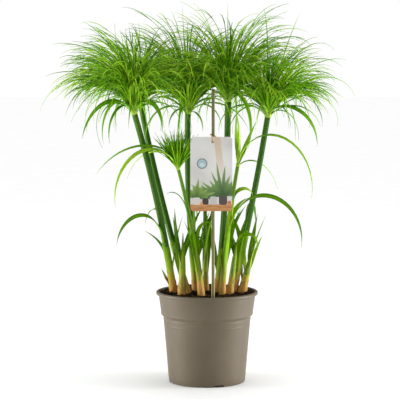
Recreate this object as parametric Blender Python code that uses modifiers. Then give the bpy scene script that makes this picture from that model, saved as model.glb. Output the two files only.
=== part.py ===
"""A potted papyrus sedge: a tapered nursery pot of soil, five tall stems that each carry a mop-like head
of drooping rays, three young stems, pointed shoots, basal leaves and a card tied to a thin cane.

Metres, +Z up. The origin is the centre of the pot's underside. The front is towards -Y.
"""

import math

import bmesh
import bpy
import numpy as np
from mathutils import Matrix, Vector

# The pot: a standard 19 cm nursery pot with a deep rim band that ends in a small ledge
POT_HEIGHT = 0.170
LIP_RADIUS = 0.0949
LIP_DEPTH = 0.006
MOUTH_RADIUS = 0.0895
BAND_RADIUS = 0.0858
LEDGE_RADIUS = 0.0816
LEDGE_HEIGHT = 0.1228
LEDGE_RISE = 0.0044
BASE_RADIUS = 0.0712
WALL = 0.0016
EDGE = 0.0008
FLOOR = 0.0045
GUTTER = 0.003
PAD_RADIUS = 0.028
FOOT_RADII = (0.0582, 0.0692)
RECESS = 0.0025
TURN_STEPS = 28
SLOT_COUNT = 4
SLOT_SIZE = (0.018, 0.019, 0.0038)
SLOT_HEADING = -72

# The soil fills the pot and lies a little higher at the back than at the front. GAP parts what touches.
GAP = 0.0004
SOIL_RINGS = (0, 0.024, 0.048, 0.070)
SOIL_HEIGHT = 0.1642
SOIL_SLOPE = 0.026
SOIL_LUMP = 0.0006
ROOT_DEPTH = 0.014

# The card and the cane that carries it
CANE_X = 0.0108
CANE_Y = -0.0725
CANE_TOP = 0.548
CANE_FOOT = 0.112
CANE_RADIUS = 0.0032
CARD_SIZE = (0.076, 0.135)
CARD_THICKNESS = 0.0006
CARD_CORNER = 0.006
CARD_CENTRE_X = 0.0074
CARD_TOP = 0.4622
CARD_BEFORE_CANE = 0.0065
HOLE_RADIUS = 0.0024
HOLE_BELOW_TOP = 0.009
HOLE_FROM_CANE = -0.001
TIE_RADIUS = 0.0008
TIE_RISE = 0.0125

# Each stem: foot on the soil (x, y), centre of its head (x, y, z), sideways bow, radius low and high
STEMS = {
    "stem_left_front": ((-0.0620, 0.004), (-0.1333, -0.050, 0.5058), 0.006, 0.0068, 0.0054),
    "stem_left_back": ((-0.0350, -0.006), (-0.1239, 0.055, 0.5122), -0.005, 0.0066, 0.0052),
    "stem_middle": ((-0.0200, 0.022), (-0.0354, 0.022, 0.5025), -0.006, 0.0064, 0.0055),
    "stem_right_middle": ((0.0190, 0.006), (0.0386, 0.000, 0.5256), 0.0045, 0.0066, 0.0058),
    "stem_right": ((0.0475, 0.006), (0.1127, 0.000, 0.4979), 0.003, 0.0068, 0.0052),
    "young_stem_left": ((-0.0100, -0.032), (-0.0534, -0.040, 0.4027), 0.005, 0.0060, 0.0030),
    "young_stem_right": ((0.0280, -0.022), (0.0569, -0.020, 0.4067), -0.004, 0.0056, 0.0034),
    "young_stem_middle": ((-0.0015, 0.018), (-0.0015, 0.030, 0.4080), -0.002, 0.0052, 0.0032),
}
# A shoot is a bundle of rolled leaf sheaths that ends in a point: foot (x, y), tip (x, y, z), radius at foot
SHOOTS = {
    "shoot_left": ((-0.0465, -0.026), (-0.0445, -0.030, 0.282), 0.0062),
    "shoot_middle": ((0.0420, -0.012), (0.0540, -0.010, 0.262), 0.0052),
    "shoot_right": ((0.0650, 0.004), (0.0850, 0.002, 0.252), 0.0068),
}
SHOOT_TIP = 0.0012
STEM_POINTS = 6
SHEATH_TOP = 0.045

# A blade leaves at a heading (0 is +X, 90 is +Y) and climbs at a rise. At the part s of its length it
# climbs at rise - droop * s ** power. Angles in degrees, then its length and its greatest width.
BRACTS = {
    "head_left_front": (
        (225, 55, 131, 0.74, 0.158, 0.0088),
        (245, 31, 147, 1.55, 0.170, 0.0060),
        (130, 71, 187, 0.80, 0.092, 0.0052),
        (230, 64, 170, 0.60, 0.114, 0.0046),
        (310, 59, 159, 0.88, 0.118, 0.0096),
        (145, 85, 213, 0.67, 0.174, 0.0022),
        (180, 58, 132, 1.25, 0.212, 0.0024),
        (172, 57, 109, 3.50, 0.175, 0.0020),
        (190, 70, -17, 1.00, 0.160, 0.0020),
        (285, 60, 150, 1.10, 0.165, 0.0030),
    ),
    "head_left_back": (
        (20, 86, 110, 4.00, 0.159, 0.0020),
        (120, 62, 165, 0.80, 0.160, 0.0060),
        (62, 66, 150, 0.80, 0.140, 0.0045),
        (152, 56, 150, 1.00, 0.170, 0.0040),
        (95, 80, 40, 2.00, 0.170, 0.0020),
        (190, 62, 120, 2.00, 0.180, 0.0020),
    ),
    "head_middle": (
        (215, 52, 146, 0.60, 0.061, 0.0030),
        (320, 30, 128, 0.60, 0.055, 0.0030),
        (170, 87, 0, 1.00, 0.193, 0.0020),
        (100, 62, 165, 0.75, 0.160, 0.0065),
        (140, 60, 150, 0.90, 0.150, 0.0040),
        (50, 64, 150, 0.90, 0.150, 0.0040),
        (265, 78, 60, 2.00, 0.175, 0.0020),
    ),
    "head_right_middle": (
        (305, 69, 186, 0.50, 0.147, 0.0072),
        (200, 50, 128, 0.60, 0.076, 0.0030),
        (90, 84, 12, 1.00, 0.180, 0.0020),
        (80, 62, 165, 0.75, 0.165, 0.0060),
        (120, 60, 150, 0.90, 0.140, 0.0040),
        (250, 70, 110, 1.60, 0.165, 0.0022),
        (290, 66, 120, 1.40, 0.160, 0.0022),
    ),
    "head_right": (
        (345, 64, 155, 0.60, 0.137, 0.0080),
        (10, 41, 144, 1.70, 0.173, 0.0020),
        (203, 43, 106, 1.48, 0.080, 0.0025),
        (8, 50, 121, 2.00, 0.198, 0.0022),
        (4, 69, 127, 3.50, 0.199, 0.0022),
        (100, 89, 60, 4.00, 0.206, 0.0020),
        (15, 79, 14, 1.00, 0.196, 0.0020),
        (60, 62, 160, 0.80, 0.165, 0.0060),
        (286, 60, 150, 1.10, 0.160, 0.0030),
    ),
    "young_head_left": (
        (196, 90, 145, 0.55, 0.188, 0.0046),
        (220, 63, 163, 0.87, 0.220, 0.0080),
        (142, 68, 137, 0.70, 0.152, 0.0046),
    ),
    "young_head_right": (
        (323, 81, 181, 0.83, 0.260, 0.0050),
        (300, 80, -44, 1.80, 0.100, 0.0096),
        (40, 64, 6, 1.20, 0.086, 0.0074),
        (42, 36, 105, 0.68, 0.125, 0.0044),
        (165, 84, -8, 1.00, 0.090, 0.0056),
        (95, 74, 0, 1.00, 0.070, 0.0060),
    ),
    "young_head_middle": (),
}
TALL_HUB = 0.0074
YOUNG_HUB = 0.0048
HUB_FLOOR = 0.55
RAY_WIDTH = 0.0019
YOUNG_RAY_WIDTH = 0.0018
RAY_LENGTHS = (0.150, 0.186)
TUFT_LENGTHS = {"young_head_left": (0.060, 0.078), "young_head_middle": (0.036, 0.046)}
RAY_PARTS = 4
STEEP_DROOP = 75
BRACT_PARTS = 6
LOWEST_RAY_FACE = -8

# Each leaf: the stem that it grows from, the height where its blade leaves, then as for the bracts
LEAVES = (
    ("stem_left_front", 0.262, 224, 87, 168, 1.00, 0.168, 0.0092),
    ("stem_left_front", 0.206, 181, 99, 74, 0.98, 0.093, 0.0050),
    ("stem_left_front", 0.180, 190, 66, 0, 1.00, 0.036, 0.0046),
    ("shoot_left", 0.226, 192, 80, -12, 1.60, 0.102, 0.0096),
    ("shoot_left", 0.258, 350, 66, 120, 1.20, 0.050, 0.0034),
    ("young_stem_left", 0.292, 222, 79, 100, 2.31, 0.100, 0.0052),
    ("young_stem_left", 0.228, 8, 98, 190, 4.00, 0.098, 0.0086),
    ("stem_middle", 0.229, 285, 86, 0, 1.00, 0.105, 0.0070),
    ("young_stem_right", 0.292, 326, 77, 176, 1.02, 0.239, 0.0084),
    ("young_stem_right", 0.268, 22, 89, 72, 1.75, 0.092, 0.0096),
    ("young_stem_right", 0.345, 20, 84, 156, 1.00, 0.052, 0.0060),
    ("shoot_middle", 0.246, 345, 90, 215, 1.50, 0.078, 0.0078),
    ("young_stem_right", 0.205, 210, 92, 10, 1.00, 0.046, 0.0060),
    ("stem_right", 0.206, 215, 84, 0, 1.00, 0.034, 0.0044),
    ("shoot_right", 0.200, 16, 90, 12, 0.50, 0.114, 0.0092),
    ("shoot_right", 0.208, 329, 87, 22, 0.50, 0.110, 0.0062),
    ("shoot_right", 0.196, 54, 74, 27, 0.50, 0.088, 0.0056),
    ("stem_left_back", 0.262, 115, 68, 130, 1.20, 0.160, 0.0080),
    ("stem_middle", 0.272, 85, 76, 150, 1.10, 0.175, 0.0080),
    ("stem_right_middle", 0.246, 72, 74, 120, 1.30, 0.150, 0.0070),
    ("stem_right", 0.280, 80, 74, 150, 1.00, 0.165, 0.0080),
)
LEAF_PARTS = 7
SHEATH_LENGTH = 0.016
BUTT_RADIUS = 0.002
BLADE_THICKNESS = 0.0011
BLADE_ROLL = 55
ROLL_SPEED = 1.0
STEPS_A_PART = 8
TRIES = 160

SEED = 19
CLEARANCE = 0.0005
BROAD_BLADE = 0.0014
COLOURS = {
    "pot_plastic": ((0.30, 0.255, 0.205), 0.52),
    "peat_soil": ((0.022, 0.013, 0.009), 0.95),
    "stem_green": ((0.035, 0.125, 0.012), 0.42),
    "leaf_green": ((0.120, 0.320, 0.030), 0.45),
    "head_green": ((0.085, 0.250, 0.015), 0.50),
    "cane": ((0.190, 0.180, 0.050), 0.60),
    "card": ((0.640, 0.630, 0.600), 0.45),
    "raffia": ((0.460, 0.340, 0.180), 0.80),
}


def clear_scene():
    for obj in list(bpy.data.objects):
        bpy.data.objects.remove(obj)


def collection(name, helpers=False):
    made = bpy.data.collections.new(name)
    bpy.context.scene.collection.children.link(made)
    made.hide_render = helpers
    return made


def material(name):
    colour, roughness = COLOURS[name]
    made = bpy.data.materials.new(name)
    made.use_nodes = True
    shader = made.node_tree.nodes["Principled BSDF"]
    shader.inputs["Base Color"].default_value = (*colour, 1)
    shader.inputs["Roughness"].default_value = roughness
    shader.inputs["Metallic"].default_value = 0
    return made


def place(name, data, home, finish):
    obj = bpy.data.objects.new(name, data)
    home.objects.link(obj)
    if finish:
        data.materials.append(finish)
    return obj


def object_from(name, bm, home, finish, smooth=True):
    bmesh.ops.recalc_face_normals(bm, faces=bm.faces)
    mesh = bpy.data.meshes.new(name)
    bm.to_mesh(mesh)
    bm.free()
    if smooth:
        mesh.shade_smooth()
        mesh.set_sharp_from_angle(angle=math.radians(40))
    return place(name, mesh, home, finish)


def turned(name, profile, home, finish):
    """A profile of (radius, height) points turned about the Z axis by a Screw modifier."""
    bm = bmesh.new()
    points = [bm.verts.new((radius, 0, height)) for radius, height in profile]
    for low, high in zip(points, points[1:]):
        bm.edges.new((low, high))
    mesh = bpy.data.meshes.new(name)
    bm.to_mesh(mesh)
    bm.free()
    obj = place(name, mesh, home, finish)
    screw = obj.modifiers.new("Turn", "SCREW")
    screw.steps = screw.render_steps = TURN_STEPS
    screw.use_merge_vertices = True
    screw.merge_threshold = 0.00002
    screw.use_smooth_shade = True
    return obj


def helper(obj):
    obj.hide_render = True
    obj.display_type = "WIRE"
    return obj


def wall_radius(height):
    """Outer radius of the pot's lower wall at a height."""
    return BASE_RADIUS + (LEDGE_RADIUS - BASE_RADIUS) * height / LEDGE_HEIGHT


def inner_profile():
    """The pot's inside from the corner of the floor to just under the lip."""
    return [
        (wall_radius(FLOOR) - WALL, FLOOR),
        (LEDGE_RADIUS - WALL, LEDGE_HEIGHT + WALL / 3),
        (BAND_RADIUS - WALL, LEDGE_HEIGHT + LEDGE_RISE + WALL),
        (MOUTH_RADIUS - WALL / 2, POT_HEIGHT - LIP_DEPTH),
    ]


def make_pot(home, helpers, finish):
    """The pot, from the middle of its floor up the inside, over the lip, down the outside and back under."""
    lip_foot, band_foot = POT_HEIGHT - LIP_DEPTH, LEDGE_HEIGHT + LEDGE_RISE
    foot_inside, foot_outside = FOOT_RADII
    floor = [(0, FLOOR), (foot_inside, FLOOR), (foot_inside + 7 * EDGE, GUTTER)]
    inside = [(wall_radius(FLOOR) - 2 * WALL, GUTTER), *inner_profile()]
    lip = [
        (MOUTH_RADIUS, POT_HEIGHT - EDGE),
        (MOUTH_RADIUS + EDGE, POT_HEIGHT),
        (LIP_RADIUS - 1.6 * EDGE, POT_HEIGHT),
        (LIP_RADIUS, POT_HEIGHT - 1.6 * EDGE),
        (LIP_RADIUS, lip_foot + 2 * EDGE),
        (LIP_RADIUS - EDGE, lip_foot + EDGE / 2),
        (MOUTH_RADIUS + EDGE, lip_foot),
    ]
    outside = [
        (BAND_RADIUS, band_foot),
        (BAND_RADIUS - EDGE, band_foot - 2 * EDGE),
        (LEDGE_RADIUS, LEDGE_HEIGHT),
        (wall_radius(4 * EDGE), 4 * EDGE),
        (BASE_RADIUS - EDGE, EDGE),
        (foot_outside, 0),
    ]
    under = [(foot_inside, 0), (foot_inside - 2 * EDGE, RECESS)]
    under += [(PAD_RADIUS + 2 * EDGE, RECESS), (PAD_RADIUS, 0), (0, 0)]
    pot = turned("pot", floor + inside + lip + outside + under, home, finish)
    for number in range(SLOT_COUNT):
        through, width, height = SLOT_SIZE
        bm = bmesh.new()
        bmesh.ops.create_cube(bm, size=1)
        bmesh.ops.scale(bm, verts=bm.verts, vec=(through, width, 2 * height))
        bmesh.ops.translate(bm, verts=bm.verts, vec=(BASE_RADIUS, 0, 0))
        cutter = helper(object_from(f"slot_cutter_{number + 1}", bm, helpers, None, False))
        cutter.rotation_euler.z = math.radians(SLOT_HEADING + number * 360 / SLOT_COUNT)
        cut = pot.modifiers.new(f"Drain slot {number + 1}", "BOOLEAN")
        cut.operation = "DIFFERENCE"
        cut.object = cutter
    return pot


def soil_level(x, y):
    """Height of the soil's surface: a plane that climbs towards the back, with low lumps."""
    lumps = math.sin(151 * x + 1.3) * math.sin(137 * y + 0.4) + 0.6 * math.sin(263 * x - 211 * y)
    return SOIL_HEIGHT + SOIL_SLOPE * y + SOIL_LUMP * lumps


def make_soil(home, helpers, finish, roots):
    """The soil, with a socket for each stem and for the cane. roots: (foot, direction, radius, depth)."""
    (foot, _), ledge, band, (mouth, _) = inner_profile()
    top = [(radius, SOIL_HEIGHT) for radius in SOIL_RINGS]
    side = [(radius - GAP, height) for radius, height in (band, ledge)]
    side = [(mouth - 2 * GAP, SOIL_HEIGHT), *side, (foot - GAP, FLOOR + GAP)]
    soil = turned("soil_turned", top + side + [(0, FLOOR + GAP)], home, None)
    graph = bpy.context.evaluated_depsgraph_get()
    graph.update()
    mesh = bpy.data.meshes.new_from_object(soil.evaluated_get(graph))
    bpy.data.objects.remove(soil)
    for vertex in mesh.vertices:
        if vertex.co.z > SOIL_HEIGHT - GAP:
            vertex.co.z = soil_level(vertex.co.x, vertex.co.y)
    mesh.name = "soil"
    soil = place("soil", mesh, home, finish)
    for number, (foot, direction, radius, depth) in enumerate(roots):
        bm = bmesh.new()
        wide = (radius + GAP) / math.cos(math.pi / 8)
        bmesh.ops.create_cone(
            bm, cap_ends=True, segments=8, radius1=wide, radius2=wide, depth=2 * depth + 2 * GAP
        )
        turn = direction.to_track_quat("Z", "Y").to_matrix().to_4x4()
        bmesh.ops.transform(bm, verts=bm.verts, matrix=Matrix.Translation(foot) @ turn)
        cutter = helper(object_from(f"socket_cutter_{number + 1}", bm, helpers, None, False))
        cut = soil.modifiers.new(f"Socket {number + 1}", "BOOLEAN")
        cut.operation = "DIFFERENCE"
        cut.object = cutter
    return soil


def rod(name, points, radii, home, finish, cyclic=False, sides=2):
    """A round rod along points, as a curve with a bevel. Its radius may change from point to point."""
    curve = bpy.data.curves.new(name, "CURVE")
    curve.dimensions = "3D"
    curve.bevel_depth = 1
    curve.bevel_resolution = sides
    curve.use_fill_caps = not cyclic
    spline = curve.splines.new("POLY")
    spline.points.add(len(points) - 1)
    spline.use_cyclic_u = cyclic
    for knot, point, radius in zip(spline.points, points, radii):
        knot.co = (*point, 1)
        knot.radius = radius
    return place(name, curve, home, finish)


class Crowd:
    """All the rods and blades placed so far, as straight stretches, to keep each new one clear of them.

    The first stretch of a blade is its root. Roots of one piece meet at its hub, so they aren't compared.
    """

    def __init__(self):
        self.starts = np.empty((0, 3))
        self.ends = np.empty((0, 3))
        self.radii = np.empty(0)
        self.owners = np.empty(0, int)
        self.roots = np.empty(0, bool)
        self.names = []

    def number(self, name):
        if name not in self.names:
            self.names.append(name)
        return self.names.index(name)

    def add(self, name, points, radii):
        points, count = np.array(points, float), len(points) - 1
        self.starts = np.vstack([self.starts, points[:-1]])
        self.ends = np.vstack([self.ends, points[1:]])
        self.radii = np.append(self.radii, np.maximum(radii[:-1], radii[1:]))
        self.owners = np.append(self.owners, np.full(count, self.number(name)))
        self.roots = np.append(self.roots, np.arange(count) == 0)

    def add_blade(self, name, points, halves, heading):
        for rail, radii in rails(points, halves, heading):
            self.add(name, rail, radii)

    def clear(self, name, points, halves, heading, grows_on=None):
        """Whether a blade keeps its clearance. On the stem that it grows on only its thickness counts."""
        own = self.owners == self.number(name)
        close = self.owners == (self.number(grows_on) if grows_on else -1)
        thin = BLADE_THICKNESS / 2 + CLEARANCE
        for rail, radii in rails(points, halves, heading):
            widths = np.maximum(radii[:-1], radii[1:])
            for step, (start, end, width) in enumerate(zip(rail[:-1], rail[1:], widths)):
                gaps = stretch_gaps(start, end, self.starts, self.ends)
                needed = self.radii + np.where(close, thin, width + CLEARANCE)
                counted = ~own if step == 0 else ~(own & self.roots)
                if (gaps < needed)[counted].any():
                    return False
        return True


def rails(points, halves, heading):
    """A blade as round rails side by side: one for a narrow blade, three for a broad one."""
    halves = np.array(halves)
    if halves.max() < BROAD_BLADE:
        return [(np.array(points, float), halves)]
    sides = []
    for number in range(len(points)):
        side, _ = across(direction_at(points, number), heading, number / (len(points) - 1))
        sides.append(side)
    points, sides = np.array(points, float), np.array(sides, float)
    return [(points + sides * halves[:, None] * part, halves / 3) for part in (-2 / 3, 0, 2 / 3)]


def direction_at(points, number):
    """The direction of a path at one of its points, from the points before and after it."""
    return (points[min(number + 1, len(points) - 1)] - points[max(number - 1, 0)]).normalized()


def across(along, heading, part):
    """The directions across a blade and out of its upper face. It rolls to show its face to the front."""
    side = level(heading + 90)
    over = along.cross(side).normalized()
    roll = math.radians(BLADE_ROLL) * level(heading).x * min(1.0, ROLL_SPEED * part)
    return side * math.cos(roll) + over * math.sin(roll), over * math.cos(roll) - side * math.sin(roll)


def stretch_gaps(start, end, starts, ends):
    """Distances from one straight stretch to many, found at the nearest points of each pair."""
    along, others, between = end - start, ends - starts, start - starts
    a, e = along @ along, (others * others).sum(1)
    b, c, f = others @ along, between @ along, (others * between).sum(1)
    down = np.maximum(a * e - b * b, 1e-16)
    s = np.clip((b * f - c * e) / down, 0, 1)
    t = np.clip((b * s + f) / e, 0, 1)
    s = np.clip((b * t - c) / a, 0, 1)
    apart = between + s[:, None] * along - t[:, None] * others
    return np.sqrt((apart * apart).sum(1))


def stem_path(name):
    """Points up a stem, from its root in the soil to the underside of its head, and their radii."""
    foot, head, bow, low, high = STEMS[name]
    hub = YOUNG_HUB if name.startswith("young") else TALL_HUB
    foot = Vector((*foot, soil_level(*foot)))
    head = Vector(head)
    top = head - (head - foot).normalized() * (HUB_FLOOR * hub + GAP)
    points, radii = [], []
    for number in range(STEM_POINTS):
        part = number / (STEM_POINTS - 1)
        points.append(foot.lerp(top, part) + Vector((bow * 4 * part * (1 - part), 0, 0)))
        sheath = max(0.0, 1 - part * (top.z - foot.z) / SHEATH_TOP)
        radii.append(high + (0.86 * low - high) * (1 - part) + 0.14 * low * sheath)
    root = points[0] + (points[0] - points[1]).normalized() * ROOT_DEPTH
    return [root, *points], [radii[0], *radii]


def shoot_path(name):
    """Points up a shoot, from its root in the soil to its tip, and their radii."""
    foot, tip, radius = SHOOTS[name]
    foot, tip = Vector((*foot, soil_level(*foot))), Vector(tip)
    root = foot + (foot - tip).normalized() * ROOT_DEPTH
    points = [root, foot, foot.lerp(tip, 0.35), foot.lerp(tip, 0.7), tip]
    return points, [radius, radius, 0.8 * radius, 0.5 * radius, SHOOT_TIP]


def point_at(points, radii, height):
    """The point of a path at a height, and the larger radius of the stretch that it is on."""
    for low, high, near, far in zip(points, points[1:], radii, radii[1:]):
        if low.z <= height <= high.z:
            return low.lerp(high, (height - low.z) / (high.z - low.z)), max(near, far)
    return points[-1], radii[-1]


def blade_path(start, heading, rise, droop, power, length, parts):
    """Points along a blade that climbs at rise - droop * s ** power, at the parts of its length."""
    steps = parts * STEPS_A_PART
    points, here = [Vector(start)], Vector(start)
    for number in range(steps):
        climb = math.radians(rise - droop * ((number + 0.5) / steps) ** power)
        here = here + (level(heading) * math.cos(climb) + Vector((0, 0, math.sin(climb)))) * length / steps
        if (number + 1) % STEPS_A_PART == 0:
            points.append(here.copy())
    return points


def level(heading):
    """The level direction of a heading."""
    return Vector((math.cos(math.radians(heading)), math.sin(math.radians(heading)), 0))


def blade_widths(width, parts, fullest=0.25):
    """Half widths along a blade: narrow at its root, widest at a part of its length, then tapering."""
    halves = []
    for number in range(parts + 1):
        part = number / parts
        grow = 0.6 + 0.4 * min(1.0, part / fullest)
        fade = 1 - max(0.0, (part - fullest) / (1 - fullest)) ** 1.6
        halves.append(width / 2 * grow * max(fade, 0.12))
    return halves


def section(path, number, heading, half, thickness):
    """The three corners of a keeled blade at a point of its path: two edges and the keel under them."""
    side, over = across(direction_at(path, number), heading, number / (len(path) - 1))
    edge = over * thickness * 0.5
    point = path[number]
    return [point + side * half + edge, point - side * half + edge, point - over * thickness * 0.5]


def draw_out(bm, face, path, heading, halves, thickness):
    """Draws a three-cornered face out along a path into a keeled blade that ends in a point."""
    side, over = across(direction_at(path, 0), heading, 0)
    middle = face.calc_center_median()
    angles = []
    for vertex in face.verts:
        out = vertex.co - middle
        angles.append(math.degrees(math.atan2(out.dot(over), out.dot(side))))

    def twist(shift):
        wanted = [(30, 150, 270)[(corner + shift) % 3] for corner in range(3)]
        return sum(abs((angle - want + 180) % 360 - 180) for angle, want in zip(angles, wanted))

    shift = min(range(3), key=twist)
    corner_of = {tuple(vertex.co): (corner + shift) % 3 for corner, vertex in enumerate(face.verts)}
    for number in range(1, len(path) - 1):
        corners = section(path, number, heading, halves[number], thickness * taper(number, path))
        face = bmesh.ops.extrude_discrete_faces(bm, faces=[face])["faces"][0]
        placed = {}
        for vertex in face.verts:
            corner = corner_of[tuple(vertex.co)]
            vertex.co = corners[corner]
            placed[tuple(vertex.co)] = corner
        corner_of = placed
    tip = bmesh.ops.poke(bm, faces=[face])["verts"][0]
    tip.co = path[-1]


def taper(number, path):
    """How thick a blade still is at a point of its path."""
    return 1 - 0.5 * number / (len(path) - 1)


def make_leaf(name, row, paths, crowd, home, finish):
    """A basal leaf: it hugs its stem for the length of its sheath, then leaves it and arches over."""
    stem, height, heading, rise, droop, power, length, width = row
    points, radii = paths[stem]
    foot, foot_radius = point_at(points, radii, max(height - SHEATH_LENGTH, points[1].z + BUTT_RADIUS))
    mouth, mouth_radius = point_at(points, radii, height)
    halves = [0.4 * width, *blade_widths(width, LEAF_PARTS)]
    for tries in range(TRIES):
        flat, away = level(heading), BLADE_THICKNESS + CLEARANCE * (1 + tries / 6)
        path = [foot + flat * (foot_radius + away)]
        start = mouth + flat * (mouth_radius + away + CLEARANCE)
        path += blade_path(start, heading, rise, droop, power, length, LEAF_PARTS)
        if crowd.clear(name, path, halves, heading, grows_on=stem):
            break
        rise -= 1
        heading += (-1) ** tries * 5 * (tries % 6)
    else:
        print("no room for", name)
    crowd.add_blade(name, path, halves, heading)
    along = direction_at(path, 0)
    frame = Matrix((*across(along, heading, 0), along)).transposed().to_4x4()
    bm = bmesh.new()
    bmesh.ops.create_cone(
        bm, cap_ends=True, segments=3, radius1=BUTT_RADIUS / 2, radius2=BUTT_RADIUS / 2, depth=GAP
    )
    bmesh.ops.transform(bm, verts=bm.verts, matrix=Matrix.Translation(path[0]) @ frame)
    bm.normal_update()
    end = max(bm.faces, key=lambda face: face.normal.dot(along))
    draw_out(bm, end, path, heading, halves, BLADE_THICKNESS)
    return object_from(name, bm, home, finish)


def make_hub(name, crowd):
    """The hub of a head, flat under, with the faces from which its rays may grow."""
    foot, centre, *_ = STEMS[name.replace("head", "stem")]
    centre = Vector(centre)
    axis = (centre - Vector((*foot, SOIL_HEIGHT))).normalized()
    size = YOUNG_HUB if name.startswith("young") else TALL_HUB
    crowd.add(name, [centre, centre + axis * 0.0001], [size, size])
    bm = bmesh.new()
    bmesh.ops.create_icosphere(bm, subdivisions=2, radius=size)
    for vertex in bm.verts:
        vertex.co.z = max(vertex.co.z, -HUB_FLOOR * size)
    turn = axis.to_track_quat("Z", "Y").to_matrix().to_4x4()
    bmesh.ops.transform(bm, verts=bm.verts, matrix=Matrix.Translation(centre) @ turn)
    bm.normal_update()
    lowest = math.sin(math.radians(LOWEST_RAY_FACE))
    return bm, [face for face in bm.faces if face.normal.z > lowest]


def grow_bracts(name, bm, free, crowd, rng):
    """Draws out each bract from the free face of the hub that looks its way."""
    for heading, rise, droop, power, length, width in BRACTS[name]:
        steep = math.radians(min(84, max(0, (rise - 36) * 1.6)))
        out = level(heading) * math.cos(steep) + Vector((0, 0, math.sin(steep)))
        face = max(free, key=lambda face: face.normal.dot(out))
        row = (heading, rise, droop, power, length)
        if grow(name, bm, face, row, width, BRACT_PARTS, 0.25, crowd, rng):
            free.remove(face)


def grow_rays(name, bm, free, crowd, rng):
    """Draws out a ray from each face of the hub that is still free. Those near the top are more upright."""
    young = name.startswith("young")
    lengths = TUFT_LENGTHS.get(name, RAY_LENGTHS)
    for face in free[::2] if young else free:
        upright = max(0, math.asin(min(1, face.normal.z)) / math.radians(90))
        heading = math.degrees(math.atan2(face.normal.y, face.normal.x))
        length = rng.uniform(*lengths)
        if young:
            row = (heading, 56 + 32 * upright, rng.uniform(-14, 0), 1, length)
            grow(name, bm, face, row, YOUNG_RAY_WIDTH, 3, 0.2, crowd, rng)
            continue
        droop = (110 - 70 * upright) * rng.uniform(0.75, 1.15)
        row = (heading, 40 + 46 * upright**0.8, droop, rng.uniform(1.5, 2.6), length)
        parts = RAY_PARTS if droop > STEEP_DROOP else RAY_PARTS - 1
        grow(name, bm, face, row, RAY_WIDTH, parts, 0.1, crowd, rng)


def grow(name, bm, face, row, width, parts, fullest, crowd, rng):
    """A blade from a face of the hub, turned a little at a time until it passes between its neighbours."""
    heading, rise, droop, power, length = row
    start = face.calc_center_median()
    halves = blade_widths(width, parts, fullest)
    for tries in range(TRIES):
        loose = min(1.0, tries / 60)
        aimed = heading + rng.uniform(-14, 14) * loose
        drooped = droop * (1 + rng.uniform(-0.18, 0.18) * loose)
        shorter = length * (1 - 0.10 * loose * rng.uniform(0, 1))
        points = blade_path(start, aimed, rise, drooped, power, shorter, parts)
        if crowd.clear(name, points, halves, aimed):
            crowd.add_blade(name, points, halves, aimed)
            draw_out(bm, face, points, aimed, halves, min(BLADE_THICKNESS, width / 2))
            return True
    print("no room for a blade of", name, "at heading", round(heading))
    return False


def make_card(home, finish):
    """The card: a flat outline with rounded corners and a punched hole, standing across the view."""
    width, height = CARD_SIZE
    curve = bpy.data.curves.new("label_card", "CURVE")
    curve.dimensions = "2D"
    curve.fill_mode = "BOTH"
    curve.extrude = CARD_THICKNESS / 2
    outline = []
    for turn, right, up in ((0, 1, 1), (90, -1, 1), (180, -1, -1), (270, 1, -1)):
        middle = (right * (width / 2 - CARD_CORNER), up * (height / 2 - CARD_CORNER))
        for step in range(5):
            angle = math.radians(turn + 22.5 * step)
            outline.append(
                (middle[0] + CARD_CORNER * math.cos(angle), middle[1] + CARD_CORNER * math.sin(angle))
            )
    hole_x = CANE_X + HOLE_FROM_CANE - CARD_CENTRE_X
    hole_y = height / 2 - HOLE_BELOW_TOP
    hole = []
    for step in range(10):
        angle = math.tau * step / 10
        hole.append((hole_x + HOLE_RADIUS * math.cos(angle), hole_y + HOLE_RADIUS * math.sin(angle)))
    for loop in (outline, hole):
        spline = curve.splines.new("POLY")
        spline.points.add(len(loop) - 1)
        spline.use_cyclic_u = True
        for knot, (x, y) in zip(spline.points, loop):
            knot.co = (x, y, 0, 1)
    card = place("label_card", curve, home, finish)
    card.location = (CARD_CENTRE_X, CANE_Y - CARD_BEFORE_CANE, CARD_TOP - height / 2)
    card.rotation_euler.x = math.radians(90)
    return card


def make_tie(home, finish):
    """A loop of raffia: through the card's hole, over its top edge and round the back of the cane.

    Its steps are measured from the cane's axis at the height of the hole.
    """
    hole = Vector((CANE_X, CANE_Y, CARD_TOP - HOLE_BELOW_TOP))
    back, front = CANE_RADIUS + 2.4 * TIE_RADIUS, -CARD_BEFORE_CANE - 2.3 * TIE_RADIUS
    loop = (
        (HOLE_FROM_CANE, -CARD_BEFORE_CANE, 0),
        (HOLE_FROM_CANE, front, TIE_RADIUS),
        (HOLE_FROM_CANE - 0.0004, front - 0.0003, 0.0045),
        (HOLE_FROM_CANE - 0.0012, front, 0.0096),
        (-0.0038, -0.0056, TIE_RISE),
        (-back, -0.0012, TIE_RISE + 0.0005),
        (-back * 0.80, back * 0.62, TIE_RISE),
        (0, back, TIE_RISE - 0.0012),
        (back * 0.80, back * 0.62, TIE_RISE - 0.003),
        (back, -0.0010, 0.0066),
        (0.0032, -0.0044, 0.0026),
        (0.0006, -0.0051, 0.0004),
    )
    points = [hole + Vector(step) for step in loop]
    return rod("label_tie", points, [TIE_RADIUS] * len(points), home, finish, cyclic=True, sides=1)


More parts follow.
